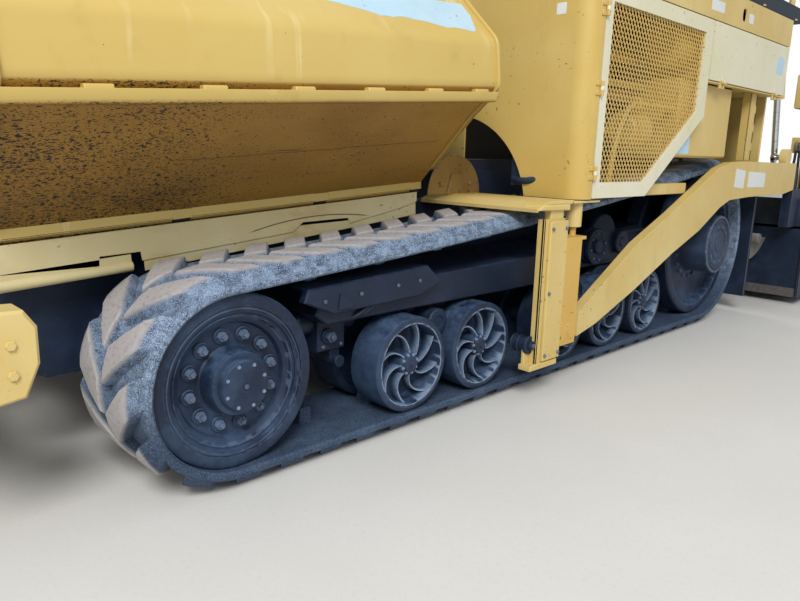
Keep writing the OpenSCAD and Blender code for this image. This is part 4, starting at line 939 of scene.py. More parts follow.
def make_track_frames():
    """Beams inside a track: the side beam, the frame over the road wheels, the bent guard with its bolts, the bogies'
    rocker arms and pivots, the tension cylinder behind the idler, and the motor casing with its pulleys."""
    p = Piece()
    p.slab([(-900, 330), (2514, 330), (2984, 450), (2984, 700), (2514, 640), (-200, 470), (-900, 450)],
           FRAME_X, BEAM_X, 6)
    p.slab([(-430, 520), (-380, 480), (1322, 480), (1322, 640), (300, 610), (-400, 590)], BEAM_X, 1181, 6)
    p.slab([(1312, 480), (2200, 480), (2240, 560), (2240, 700), (1312, 650)], BEAM_X, 1041, 6)
    p.slab([(-376, 527), (-509, 584), (-492, 631), (110, 659), (196, 583), (60, 540)], 1181, 1221, 5)
    p.slab([(-492, 619), (110, 647), (110, 659), (-492, 631)], 1121, 1183, 3)
    p.slab([(-360, 540), (-300, 540), (-290, 560), (-350, 600)], 1218, 1228, 3)
    # Rocker arms of the bogies between the double wheels, and their pivots
    for y in (220, 1318, 1758):
        arm = [(y - 250, 235), (y - 250, 300), (y - 120, 380), (y - 60, 480), (y + 60, 480), (y + 120, 380),
               (y + 250, 300), (y + 250, 235), (y + 90, 270), (y - 90, 270)]
        p.slab(rounded(arm, 14, 3), 1012, 1076, 5)
        p.spindle([(0, 0), (52, 0), (58, 6), (58, 300), (52, 306), (30, 306), (28, 300), (0, 300)], (880, y, 400), 0)
    for y in ROAD_AXLES:
        p.rod((BEAM_X, y, 270), 40, 300, turns=24)
    p.rod((BEAM_X, *IDLER_AXLE), 60, 300)
    p.rod((BEAM_X, *DRIVE_AXLE), 150, 300, turns=40)
    # Idler fork, tension cylinder with its rod, pivot block with nut and pin
    profile = [(-850, 330), (-560, 345), (-420, 420), (-420, 500), (-560, 450), (-850, 410)]
    p.slab(rounded(profile, 18, 3), 1010, 1078, 5)
    p.spindle([(0, -430), (34, -430), (40, -424), (40, -160), (30, -150), (30, -146), (0, -146)], (1040, 0, 455), 1)
    p.block((BEAM_X, -363, 352), (1105, -231, 500), 6)
    pivot = (-320, 414)
    p.rod((1104, *pivot), 30, 14)
    p.rod((1117, *pivot), 22, 24, turns=6, wear=0.5)
    p.rod((1140, *pivot), 12, 12, turns=16, wear=0.5)
    p.rod((BEAM_X, -268, 305), 24, 320)
    p.block((BEAM_X, -292, 300), (1091, -244, 360), 4)
    for y, z in ((-340, 372), (-254, 372), (-254, 478), (-340, 478)):
        p.rod((1104, y, z), 8, 8, turns=6, wear=0.6)
    for y in (-420, -250, -60, 60):
        p.rod((1220, y, 600 + 0.05 * y), 9, 7, turns=6, wear=0.6)
    # Hoses from the frame down to the idler's cylinder
    hose = np.array([(1180, -120, 590), (1205, -170, 560), (1190, -240, 500), (1120, -300, 470), (1060, -340, 490)])
    for step in (0, 26):
        p.pipe(hose + [0, step, 0], 8.5, 26, 10)
    # Motor casing with two pulleys and the rods round the smaller one
    x, y, z = 1040, 1642, 607
    p.spindle([(0, 0), (134, 0), (140, 6), (140, 22), (134, 26), (0, 26)], (x, y + 118, z + 38), 0, 48)
    p.spindle([(0, 0), (105, 0), (105, 22), (92, 26), (92, 38), (105, 42), (105, 60), (98, 64), (70, 60), (62, 54),
               (40, 54), (40, 70), (34, 74), (0, 74)], (x, y, z), 0, 48)
    p.spindle([(0, 0), (70, 0), (70, 18), (60, 24), (60, 34), (70, 40), (70, 54), (64, 59), (30, 55), (26, 62),
               (0, 66)], (x, y + 292, z + 6), 0, 40)
    for up in (66, -54):
        p.rod((1071, y + 292, z + up), 9, 300, 1, turns=12)
    p.rod((1071, y + 592, z - 54), 9, 120, 2, turns=12)
    for a in np.arange(8) * math.pi / 4 + 0.2:
        p.rod((1104, y + 78 * math.cos(a), z + 78 * math.sin(a)), 6.5, 6, turns=6, wear=0.8)
    both_sides(p, "{}_frame_dressed", "machine", UNDER, ["{}_track_frame"], crease=30)


def make_sides():
    """Side bodies: sill beam, upper panel with its long hole, the compartment behind the hatch and its hinges, the
    tank, the notched post behind it, and the filters, pipes and hoses behind the mesh."""
    p = Piece()
    p.block((1290, 1010, SILL), (TANK_X, 2140, SILL + 60), 4)
    p.block((1370, DECK_Y, HATCH_Z - 8), (SIDE_X, REAR_Y, HATCH_Z), 2)
    # Upper panel in one sheet round a long hole, both outlines walked from the same corner
    hole = oblong((2530, 1912), (2590, 1984), 28, 6)
    hole = np.roll(hole, -int(np.argmin(np.hypot(hole[:, 0] - 2530, hole[:, 1] - 1912))), 0)
    n = len(hole)
    corners = [(995, PANEL_Z), (REAR_Y, PANEL_Z), (REAR_Y, 2036), (995, 2036), (995, PANEL_Z)]
    panel = np.concatenate([np.linspace(a, b, n // 4, endpoint=False) for a, b in zip(corners, corners[1:])])
    rings = [(hole, 1402), (drawn_in(hole, -1.5), SIDE_X), (panel, SIDE_X), (panel, 1402)]
    p.skin(from_mm(np.stack([np.column_stack([np.full(n, x), line]) for line, x in rings])), around=True, along=True)
    p.block((1370, 995, PANEL_Z), (1402, REAR_Y, PANEL_Z + 8), 1.5)
    # The compartment's inner wall, floor, roof, front wall and rear wall
    back, mouth = 990, 1384
    for low, high in (((back, DECK_Y, HATCH_Z), (back + 8, REAR_Y, PANEL_Z + 8)),
                      ((back, DECK_Y, HATCH_Z), (mouth, REAR_Y, HATCH_Z + 8)),
                      ((back, DECK_Y, PANEL_Z - 8), (mouth, REAR_Y, PANEL_Z)),
                      ((back, DECK_Y, HATCH_Z), (mouth, DECK_Y + 8, PANEL_Z + 8)),
                      ((back, REAR_Y - 8, HATCH_Z), (mouth, REAR_Y, PANEL_Z + 8))):
        p.block(low, high, 1.5)
    p.slab(oblong((1942, 1118), (2660, HATCH_Z), (22, 22, 4, 4), 5), 1010, TANK_X, 12)
    p.block((1346, 2985, 1112), (TANK_X, 3090, HATCH_Z), 2)
    p.block((1300, 2985, 1112), (TANK_X, 2993, HATCH_Z), 2)
    for z, height in ((1112, 68), (1224, 76), (1344, 76), (1464, 76)):
        p.block((1300, 3074, z), (TANK_X, 3090, z + height), 2)
    both_sides(p, "{}_side_body_dressed", "machine", BODY, ["{}_side_body"], crease=30)
    hinges = Piece()
    for y in (2310, 3185):
        for k in (0, 42):
            hinges.rod((1419.3, y + k, HATCH_Z + 3), 9, 20, 1, turns=16)
            hinges.block((1402, y + k, 1514), (1414, y + 20 + k, HATCH_Z + 3), 1)
        hinges.rod((1419.3, y, HATCH_Z + 3), 5, 62, 1, turns=12)
    both_sides(hinges, "{}_hatch_hinges", "machine", BODY)
    # Air filters, oil filter and pipes behind the mesh
    g = Piece()
    g.spindle([(0, 0), (70, 0), (80, 8), (80, 18), (98, 22), (98, 120), (94, 124), (98, 128), (98, 156), (90, 161),
               (0, 161)], (1261, 1486, 1249), 1, 40)
    g.spindle([(0, 0), (30, 0), (36, 5), (36, 30), (18, 34), (18, 440), (0, 440)], (1319, 1496, 1380), 1, 24)
    g.spindle([(0, 0), (84, 0), (92, 6), (92, 16), (110, 20), (110, 276), (0, 276)], (1234, 1884, 1711), 1, 40)
    for r, x, z, end in ((32, 1060, 1450, 1940), (26, 1060, 1650, DECK_Y), (20, 1130, 1500, 1940)):
        g.rod((x, 913, z), r, end - 913, 1, turns=24)
        for y in (1150, 1500, 1820):
            g.spindle([(r, 0), (r + 5, 0), (r + 5, 26), (r, 26)], (x, y, z), 1, 24)
    hose = [(1230, 1240, 1000), (1235, 1260, 1150), (1200, 1360, 1230), (1180, 1470, 1240), (1160, 1486, 1240)]
    g.pipe(hose, 22, 30, 14)
    g.pipe([(1320, 1300, 980), (1325, 1330, 1180), (1320, 1420, 1330), (1319, 1500, 1380)], 14, 30, 12)
    # The filters take the yellow darkened into painted shade
    both_sides(g, "{}_filters", "machine", SHADED, crease=35)
    low = Piece()
    low.block((990, FRONT_Y + 20, 960), (1330, 990, 1100), 8)
    low.pipe([(1010, 930, 990), (1100, 900, 985), (1180, 945, 1000), (1240, 1060, 990)], 16, 30, 12)
    both_sides(low, "{}_hose_bank", "machine", UNDER)


def make_hood():
    """Louvres pressed out of the hood's sides, its lid's ribs and handles, and the exhaust pipe with its cut end."""
    v = Piece()
    for z in range(2110, 2270, 36):
        v.block((SIDE_X - 2, 1205, z), (SIDE_X + 7, 1840, z + 16), 4)
    both_sides(v, "{}_louvres", "machine", BODY)
    lid = Piece()
    for x in (-700, 0, 700):
        lid.slab(oblong((985, 2345), (2040, 2356), 4, 2), x - 30, x + 30, 3)
    for x in (-420, 340):
        lid.pipe([(x, 943, 2340), (x, 943, 2376), (x + 12, 943, 2386), (x + 80, 943, 2386), (x + 92, 943, 2376),
                  (x + 92, 943, 2340)], 7, 30, 10, up=(0, 1, 0))
    add(lid, "lid_ribs", "hood_lid", BODY)
    pipe = Piece()
    pipe.spindle([(56, 4), (68, 4), (68, 24), (60, 26), (60, 760), (74, 770), (74, 790), (60, 800), (58, 816),
                  (52, 816), (52, 700), (0, 700)], (-890, 2232, DECK_Z), 2, 40, wear=0.2)
    add(pipe, "exhaust_pipe", "machine", STEEL)


def make_deck():
    """Deck plate with its tread pattern and toe boards, the steps down to the walkway, and brackets with their pins
    for the lift cylinders."""
    d = Piece()
    rear = REAR_Y + 150
    d.block((-SIDE_X, DECK_Y, DECK_TOP - 8), (SIDE_X, rear, DECK_TOP), 1.5)
    for x in (-SIDE_X, SIDE_X - 6):
        d.block((x, DECK_Y + 4, DECK_TOP), (x + 6, rear, 2130), 1.5)
    for x in (-260, 220):
        d.block((x, rear, 1160), (x + 40, rear + 12, DECK_TOP), 3)
    for z in range(1180, 1980, 270):
        d.slab(oblong((3559, z), (3715, z + 24), 5, 3), -260, 260, 4)
    bracket = rounded([(3450, 2036), (3475, 1960), (3525, 1960), (3550, 2036)], 8, 3)
    for x in (-1294, -1335, 1283, 1324):
        d.slab(bracket, x, x + 11, 2)
    for x in (-1335, 1283):
        d.rod((x, 3500, 1990), 16, 52)
    # Raised pattern of the tread plate: small bars in two directions
    pitch = 62
    places = np.stack(np.meshgrid(np.arange(-1340, 1341, pitch), np.arange(2200, 3530, pitch)), -1).reshape(-1, 2)
    bar = plate([(-14, -4), (14, -4), (14, 4), (-14, 4)], 0, 2, 2, 1)
    for turn, shift in ((0.785, 0), (-0.785, pitch / 2)):
        at = np.column_stack([places + shift, np.full(len(places), DECK_TOP - 0.4)])
        d.skin(from_mm(at[:, None, None] + spun(bar, (0, 0, 0), [turn], 2)[0]), around=True, wear=0.6)
    add(d, "deck_dressed", "machine", DARK, ["deck"])


def make_stations():
    """Seat pedestals, pans and back shells, arm rests, consoles with their screens and levers, and steering wheels."""
    p = Piece()
    # Middle of the seat, across and along the machine
    sx, sy = 940, 3075
    pedestal = [(sy - 150, DECK_TOP), (sy + 150, DECK_TOP), (sy + 130, 2340), (sy - 130, 2340)]
    shell = [(sy + 225, 2360), (sy + 240, 2360), (sy + 330, 3020), (sy + 315, 3020)]
    arm = oblong((sy - 180, 2600), (sy + 180, 2640), 16, 4)
    console = [(2350, DECK_TOP), (2550, DECK_TOP), (2550, 2730), (2680, 2810), (2470, 3000), (2350, 3000)]
    p.slab(rounded(pedestal, 12, 3), sx - 150, sx + 150, 10)
    p.slab(oblong((sy - 240, 2340), (sy + 240, 2380), 14, 4), sx - 230, sx + 230, 8)
    p.slab(shell, sx - 130, sx + 130, 4)
    for x in (sx - 290, sx + 240):
        p.slab(arm, x, x + 50, 12)
        p.block((x + 8, sy + 60, 2340), (x + 42, sy + 100, 2602), 5)
    p.block((sx - 290, sy + 62, 2344), (sx + 290, sy + 98, 2374), 5)
    p.slab(rounded(console, 16, 4), sx - 300, sx + 300, 14)
    both_sides(p, "{}_station_dressed", "machine", DARK, ["stations"], crease=35)
    b = Piece()
    slope = np.array([210.0, -190.0]) / math.hypot(210, 190)
    out = np.array([-slope[1], slope[0]])

    def spot(u, h):
        """A place on the console's sloped face, u down the slope and h out of it."""
        return np.array([2470, 3000]) + u * slope + h * out

    for x0, x1, u0, u1, h in ((sx - 240, sx - 40, 30, 150, 14), (sx + 10, sx + 240, 40, 240, 8)):
        b.slab([spot(u0, -2), spot(u1, -2), spot(u1, h), spot(u0, h)], x0, x1, 4)
    for i in range(4):
        for j in range(3):
            x, (y, z) = sx + 45 + 48 * i, spot(70 + 55 * j, 7)
            b.spindle([(0, 0), (11, 0), (9, 12), (0, 13)], (x, y, z), 2, 16, wear=0.8)
    for x in (sx - 200, sx - 120):
        y, z = spot(215, 0)
        b.pipe([(x, y, z - 4), (x, y + 5, z + 50), (x, y + 12, z + 88)], 7, 12, 10)
        b.spindle([(0, 84), (14, 86), (19, 100), (14, 116), (0, 119)], (x, y + 10, z), 2, 20)
    c, s = math.cos(math.radians(-42)), math.sin(math.radians(-42))

    def leant(grid):
        """Steering wheel's own places, its column along z, tilted by 42 degrees about the column's foot."""
        x, y, z = np.moveaxis(np.asarray(grid, float), -1, 0)
        return from_mm(np.stack([sx + x, 2600 + y * c - z * s, 2870 + y * s + z * c], -1))

    wheel_r, tube_r, height = 190, 15, 140
    a, tube = np.linspace(0, 2 * np.pi, 60, endpoint=False), np.linspace(0, 2 * np.pi, 12, endpoint=False)
    r = wheel_r + tube_r * np.cos(tube)
    b.skin(leant(np.stack(np.broadcast_arrays(r * np.cos(a)[:, None], r * np.sin(a)[:, None],
                                              height + tube_r * np.sin(tube) + 0 * a[:, None]), -1)),
           around=True, along=True)
    column = [(0, 0), (30, 0), (22, 40), (22, 126), (44, 132), (48, 146), (30, 156), (0, 158)]
    b.skin(leant(lathe(column, (0, 0, 0), 24, 2)), around=True)
    for a in np.radians((90, 210, 330)):
        line = np.outer((30, 80, 140, 186), (math.cos(a), math.sin(a), 0)) + [0, 0, height]
        b.skin(leant(carried([(-12, -4), (12, -4), (12, 4), (-12, 4)], line)), around=True, ends=True)
    both_sides(b, "{}_controls", "machine", PLASTIC, crease=35)


def make_canopy():
    """Roof as a shallow arch with a rim and pressed ribs, rails under it, work lamps, and the posts' feet. The arch is
    a circle's arc over the width, and the ribs are clipped sine waves along the machine."""
    half, rise, top, y0, y1 = 1250, 90, 3776, 1650, 4000
    radius = (half ** 2 + rise ** 2) / (2 * rise)
    x = np.linspace(-half, half, 61)
    y = np.concatenate([[y0], np.linspace(y0 + 10, y1 - 10, 71), [y1]])
    z = top - radius + np.sqrt(radius ** 2 - x ** 2)
    rib = 6 * np.clip(np.sin((y - y0) * 2 * np.pi / 335) * 4 - 2.8, 0, 1)
    inner = np.clip((half - 60 - np.abs(x)) / 30, 0, 1)
    upper = z[:, None] + (rib - 6) * inner[:, None]
    p = Piece()
    for height in (upper, (z - 34)[:, None]):
        p.skin(from_mm(np.stack(np.broadcast_arrays(x[:, None], y[None, :], height), -1)))
    # Rim all round, a band that starts at the upper sheet's edge
    sides = [(x, np.full(61, y0), z), (np.full(9, half), np.linspace(y0, y1, 9), np.full(9, z[-1])),
             (x[::-1], np.full(61, y1), z[::-1]), (np.full(9, -half), np.linspace(y1, y0, 9), np.full(9, z[0]))]
    line = np.concatenate([np.stack(side, -1)[:-1] for side in sides])
    p.skin(from_mm(np.stack([line - [0, 0, down] for down in (0, 12, 28, 34)], 1)), along=True)
    post_x = 1140
    for x in (-post_x, post_x):
        p.slab([(y0 + 20, 3630), (y1 - 20, 3630), (y1 - 20, 3672), (y0 + 20, 3672)], x - 40, x + 40, 4)
    for y in (y0 + 5, y1 - 55):
        p.block((-post_x, y, 3630), (post_x, y + 50, 3668), 4)
    add(p, "canopy_dressed", "machine", BODY, ["canopy"], crease=25)
    feet = Piece()
    for x in (-post_x, post_x):
        for y in (2230, 3490):
            feet.slab(oblong((y - 70, DECK_TOP), (y + 70, DECK_TOP + 14), 3, 2), x - 70, x + 70, 3)
            for dx in (-50, 50):
                for dy in (-50, 50):
                    feet.rod((x + dx, y + dy, 2057), 9, 10, 2, turns=6, wear=0.8)
    add(feet, "canopy_feet", "machine", BODY)
    lamps, lens, lamp_z = Piece(), Piece(), 3590
    shell = [(0, 70), (40, 68), (54, 50), (58, 20), (58, 4), (52, 0), (50, 5)]
    for x in (-900, -500, 500, 900):
        for y, out in ((y0 + 5, -1), (y1 - 5, 1)):
            lamps.spindle([(r, -out * h) for r, h in shell], (x, y, lamp_z), 1, 28)
            near, far = sorted((y, y - 40 * out))
            lamps.block((x - 10, near, 3600), (x + 10, far, 3632), 3)
            lens.spindle([(50, -out * 5), (40, -out * 3), (0, -out * 2)], (x, y, lamp_z), 1, 28)
    add(lamps, "lamp_bodies", "machine", PLASTIC)
    add(lens, "lamp_lenses", "machine", LENS)


def make_augers():
    """Auger flights as a screw surface on the shaft, four turns, thick at the root and thin at the rim."""
    y, z = 3835, 520
    p = Piece()
    p.spindle([(0, 5), (38, 5), (40, 8), (40, 1240), (36, 1245), (0, 1245)], (0, y, z), 0, 32, wear=0.4)
    turns = 4
    t = np.linspace(0, 1, turns * 40 + 1)
    a = t * turns * 2 * np.pi
    along = 105 + 1120 * t
    section = np.array([(36, -9), (100, -7), (172, -4), (180, -2), (180, 2), (172, 4), (100, 7), (36, 9)])
    r, h = section.T
    grid = np.stack(np.broadcast_arrays(along[:, None] + h, y + r * np.cos(a)[:, None], z + r * np.sin(a)[:, None]),
                    -1)
    p.skin(from_mm(grid), around=True, ends=True, wear=np.clip((r - 60) / 110, 0, 1))
    both_sides(p, "{}_auger_dressed", "{}_auger", STEEL, ["{}_auger"], crease=35)


def make_screed_parts():
    """What stands on the screed: its front wall with stiffeners and wear strip, brackets at the arms, the grated
    walkway, control boxes on posts with a hand bar, and on the extensions the height spindles."""
    s = Piece()
    f, half = SCREED_Y, 1470
    s.block((-half, f - 8, 60), (half, f, 130), 2, wear=0.6)
    s.block((-half, f, 600), (half, f + 30, 830), 4)
    for x in range(-1150, 1200, 460):
        s.slab([(f + 28, 620), (f + 118, 620), (f + 28, 810)], x - 6, x + 6, 2)
    for x, bolt_x in ((-1360, -1369), (1340, 1360)):
        s.block((x, f - 190, 905), (x + 20, f + 30, 1070), 4)
        for y in (f - 150, f - 60):
            for z in (930, 1040):
                s.rod((bolt_x, y, z), 12, 9, turns=6, wear=0.6)
    for x in (-1340, 1290):
        s.block((x, f - 20, 830), (x + 50, f + 60, 905), 4)
    add(s, "screed_wall", "screed", DARK)
    w = Piece()
    inner, rear = 4530, 4990
    w.block((-half, rear - 8, 638), (half, rear, 690), 2)
    w.block((-half, inner, 620), (half, inner + 12, 640), 2)
    w.block((-half, rear - 20, 620), (half, rear - 8, 640), 2)
    for x in range(-1464, half, 61):
        w.block((x, inner + 10, 622), (x + 6, rear - 16, 640), 1)
    for y in range(inner + 50, rear - 30, 46):
        w.block((-1466, y, 626), (1466, y + 5, 639), 1, wear=0.6)
    for x in (-1300, -450, 410, 1260):
        w.block((x, SCREED_Y + 100, 620), (x + 40, inner + 6, 660), 4)
    add(w, "walkway_dressed", "screed", DARK, ["screed_walkway"])
    p = Piece()
    cx, cy, cz = 1340, 4300, 1520
    p.spindle([(0, 620), (60, 620), (60, 632), (24, 636), (24, cz + 10), (0, cz + 10)], (cx, cy, 0), 2, 28)
    outline = [(cy - 70, cz), (cy + 90, cz), (cy + 90, cz + 210), (cy + 40, cz + 260), (cy - 70, cz + 260)]
    p.slab(rounded(outline, 12, 4), cx - 110, cx + 110, 10)
    p.block((cx - 90, cy - 60, 1180), (cx + 60, cy - 48, 1300), 3)
    p.block((cx - 20, cy - 50, 1200), (cx + 20, cy, 1280), 3)
    hand_bar = [(cx + x, cy + 60, cz + z) for x, z in ((-100, 250), (-100, 320), (-84, 338), (0, 344), (84, 338),
                                                       (100, 320), (100, 250))]
    p.pipe(hand_bar, 14, 48, 14, up=(0, 1, 0))
    both_sides(p, "{}_control_box", "screed", BODY, crease=35)
    e = Piece()
    screw = [(0, 540), (20, 540), (20, 575), (12, 580), (12, 800), (18, 804), (18, 822), (0, 824)]
    for y in (4576, 4766):
        e.spindle(screw, (1488, y, 0), 2, 20, wear=0.5)
        e.rod((1488, y - 80, 812), 9, 160, 1, turns=14, wear=0.7)
    both_sides(e, "{}_spindles", "{}_extension", STEEL)
    h = Piece()
    for y in (2250, 2850, 3450):
        h.spindle([(0, 0), (46, 0), (46, 8), (19, 12), (0, 12)], (1370, y, DECK_TOP), 2, 20)
        h.spindle([(0, -22), (19, -18), (22, 0), (19, 18), (0, 22)], (1370, y, 3090), 1, 20)
    both_sides(h, "{}_rail_feet", "machine", BODY)


def make_seats():
    """Cushion and back rest of each seat, with a welt round the upper edge of each."""
    cushion = [(x, y, z) for x in (0.712, 1.168) for y in (1.261, 1.681) for z in (2.381, 2.509)]
    back = [(x, y, z) for x in (0.722, 1.158) for z, rear, front in ((2.505, 1.736, 1.613), (3.138, 1.818, 1.718))
            for y in (rear, front)]
    t = np.linspace(0, 2 * np.pi, 96)
    line = np.stack([0.975 * signed_power(np.cos(t), 0.30), 0.975 * signed_power(np.sin(t), 0.30),
                     np.full(96, 0.60)], -1)
    pads = Piece()
    for corners, seams in ((cushion, (-0.5, 0.5)), (back, (-0.45, 0.45))):
        pads.skin(pillow(corners, 0.22, seams), around=True)
        foot, head = in_block(np.array([[0, 0, -1.0], [0, 0, 1.0]]), corners)
        welt = carried(ring(0.0055, 8), in_block(line, corners), up=head - foot)
        pads.skin(welt[:-1], along=True, around=True)
    for side in ("left", "right"):
        thing = add(pads, side + "_seat_pads", "machine", VINYL, [], side == "right", 60)


def make_cables():
    """Coiled cable from each control box down to its plate, and three hoses with their fittings in front."""
    cable = Piece()
    turns, top, foot = 30, 1.519, 1.301
    t = np.linspace(0, 1, turns * 14)
    coil = np.clip(np.minimum(t, 1 - t) * 14, 0, 1)
    a = t * turns * 2 * np.pi
    middle = np.array([1.376, 2.696])
    line = np.stack([middle[0] + 0.0135 * coil * np.cos(a), middle[1] + 0.0135 * coil * np.sin(a),
                     top + (foot - top) * t], -1)
    cable.skin(carried(ring(0.0031, 7), line), around=True, ends=True)
    plug = [(0, 1.262), (0.013, 1.262), (0.013, 1.290), (0.009, 1.302), (0, 1.302)]
    socket = [(0, 1.504), (0.010, 1.504), (0.014, 1.512), (0.014, 1.5198), (0, 1.5198)]
    for profile in (plug, socket):
        cable.skin(lathe(profile, (*middle, 0), 20, 2), around=True)
    y = 2.650
    sleeve = [(0, 1.196), (0.0125, 1.196), (0.0125, 1.232), (0.0105, 1.236), (0, 1.236)]
    nut = [(0, 1.232), (0.0135, 1.232), (0.0135, 1.258), (0.009, 1.262), (0.009, 1.268), (0, 1.268)]
    for x, lean in ((1.294, -0.010), (1.322, 0.006), (1.350, 0.012)):
        line = smooth_path([(x, y, 0.621), (x, y - 0.2 * abs(lean), 0.75), (x + lean, y - 0.004, 0.94), (x, y, 1.14),
                            (x, y, 1.232)], 36)
        cable.skin(carried(ring(0.0105, 12), line, up=(0, 1, 0)), around=True, ends=True)
        cable.skin(lathe(sleeve, (x, y, 0), 20, 2), around=True, wear=0.6)
        cable.skin(lathe(nut, (x, y, 0), 6, 2), around=True, wear=0.9)
    both_sides(cable, "{}_cables_dressed", "screed", HOSE, crease=50)


def wing_paint():
    """Yellow of the wings: white run marks on the outer folds, painted shade on the underside in a darker ochre
    with clusters of bitumen specks towards the front and dragged scratches, and a black coat where the mix slides."""
    f = Finish("wing_yellow", (200, 172, 98), 0.42)
    f.coat(f.step(f.noise(1.1, 4, 0.6), 0.4, 0.7, 0, 0.6), (208, 184, 116), 0.5)
    f.coat(f.step(f.noise(6, 5, 0.65), 0.55, 0.8, 0, 0.35), (170, 140, 72), 0.5)
    up = f.step(f.facing(2), -0.35, -0.1)
    runs = f.both(up, f.step(f.noise(17, 2, 0.5, (0.3, 1, 0.02), (4, 0, 0)), 0.60, 0.66),
                  f.step(f.noise(2.2, 3, 0.6, (1, 1, 0.6)), 0.48, 0.62))
    f.coat(f.math("MULTIPLY", runs, 0.45), (240, 222, 178), 0.6)
    f.coat(f.both(f.step(f.noise(40, 4, 0.7, shift=(2, 0, 0)), 0.70, 0.73), f.step(f.noise(3, 3, 0.6), 0.5, 0.6)),
           (78, 52, 40), 0.7)
    # Faces turned downwards get painted shade: the yellow darkened to ochre, in cloudy patches
    under = f.step(f.facing(2), -0.35, -0.55)
    f.coat(under, (158, 118, 50), 0.5)
    f.coat(f.both(under, f.step(f.noise(2.4, 5, 0.65, (1, 0.5, 1)), 0.42, 0.7, 0, 0.75)), (132, 96, 40), 0.55)
    # Height over the hinge line, which rises by the hopper's pitch, and how far forward
    over = f.math("SUBTRACT", f.along(2), f.math("MULTIPLY", f.along(1), 0.0699))
    low = f.step(over, 1.20, 1.05)
    fore = f.step(f.along(1), -1.95, -2.50)
    # Darker patches low on the underside, towards the hinge line
    f.coat(f.both(under, low, f.step(f.noise(5, 4, 0.6, (1, 0.4, 1)), 0.4, 0.65, 0, 0.6)), (104, 76, 38), 0.6)
    lots = f.math("ADD", f.math("MULTIPLY", fore, 0.09), f.math("MULTIPLY", f.math("MULTIPLY", low, fore), 0.02))
    lots = f.math("ADD", lots, f.math("MULTIPLY", f.noise(2.6, 3, 0.6, (1, 0.5, 1)), 0.20))
    specks = f.math("ADD", f.noise(130, 3, 0.5, (1, 0.5, 1.2), warp=0.5), lots)
    f.coat(f.both(under, f.step(specks, 0.775, 0.795)), (26, 24, 26), 0.45)
    fine = f.math("ADD", f.noise(260, 2, 0.5, (1, 0.5, 1.2), (3, 1, 0)), f.math("MULTIPLY", lots, 0.9))
    f.coat(f.both(under, f.step(fine, 0.76, 0.79)), (52, 42, 32), 0.5)
    drag = f.both(under, low, f.step(f.noise(20, 4, 0.6, (1, 0.10, 1.4), (0, 0, 5)), 0.62, 0.68),
                  f.step(f.noise(2.0, 2, 0.5), 0.48, 0.6))
    f.coat(f.math("MULTIPLY", drag, 0.85), (54, 44, 32), 0.6)
    for level, slope, width, begin, finish, dark in ((1.262, 0.012, 0.0022, -2.45, -1.16, 0.75),
                                                     (1.238, -0.004, 0.0028, -2.10, -1.90, 0.8)):
        line = f.math("SUBTRACT", over, level)
        line = f.math("ADD", line, f.math("MULTIPLY", f.along(1), -slope))
        line = f.math("ADD", line, f.math("MULTIPLY", f.noise(5, 2, 0.5), 0.012))
        near = f.step(f.math("ABSOLUTE", line), width, 0.2 * width)
        between = f.both(f.step(f.along(1), begin, begin + 0.1), f.step(f.along(1), finish, finish - 0.05))
        f.coat(f.math("MULTIPLY", f.both(under, near, between), dark), (70, 50, 36), 0.6)
    # The side that the mix touches
    inside = f.step(f.wear(), 0.7, 0.9)
    f.coat(inside, (64, 60, 58), 0.55)
    f.coat(f.both(inside, f.step(f.noise(7, 5, 0.7, (1, 1, 0.4)), 0.45, 0.62)), (120, 114, 108), 0.4)
    f.coat(f.both(inside, f.step(f.noise(80, 3, 0.7), 0.55, 0.7)), (30, 29, 30), 0.7)
    f.relief(f.noise(3.0, 2, 0.5), 0.004)
    f.relief(f.noise(90, 3, 0.6), 0.00025)
    f.relief(f.both(inside, f.noise(60, 4, 0.7)), 0.0015)
    return f.done()


def skirt_paint():
    """Pale cream skirt with a thin dark arc scratched into it, dust along its foot and rust at its edges."""
    f = Finish("skirt_cream", (198, 184, 138), 0.5)
    f.coat(f.step(f.noise(2.6, 5, 0.6), 0.4, 0.7, 0, 0.7), (212, 202, 166), 0.5)
    f.coat(f.step(f.noise(9, 5, 0.65, (1, 0.4, 1)), 0.5, 0.75, 0, 0.6), (176, 146, 84), 0.6)
    f.coat(f.both(f.step(f.noise(36, 4, 0.7), 0.62, 0.66), f.step(f.noise(2.6, 3, 0.6), 0.5, 0.58)), (84, 62, 44), 0.8)
    # The arc: its height falls with the square of the way along from its top
    bow = f.math("SUBTRACT", f.along(1), -1.63)
    fall = f.math("MULTIPLY", f.math("MULTIPLY", bow, bow), -0.32)
    line = f.math("SUBTRACT", f.along(2), f.math("ADD", 0.838, fall))
    near = f.step(f.math("ABSOLUTE", line), 0.0035, 0.001)
    f.coat(f.both(near, f.step(f.along(1), -2.05, -2.0), f.step(f.along(1), -1.42, -1.46)), (96, 74, 46), 0.6)
    f.relief(f.noise(80, 3, 0.6), 0.0002)
    return f.done()


SKIRT = skirt_paint()
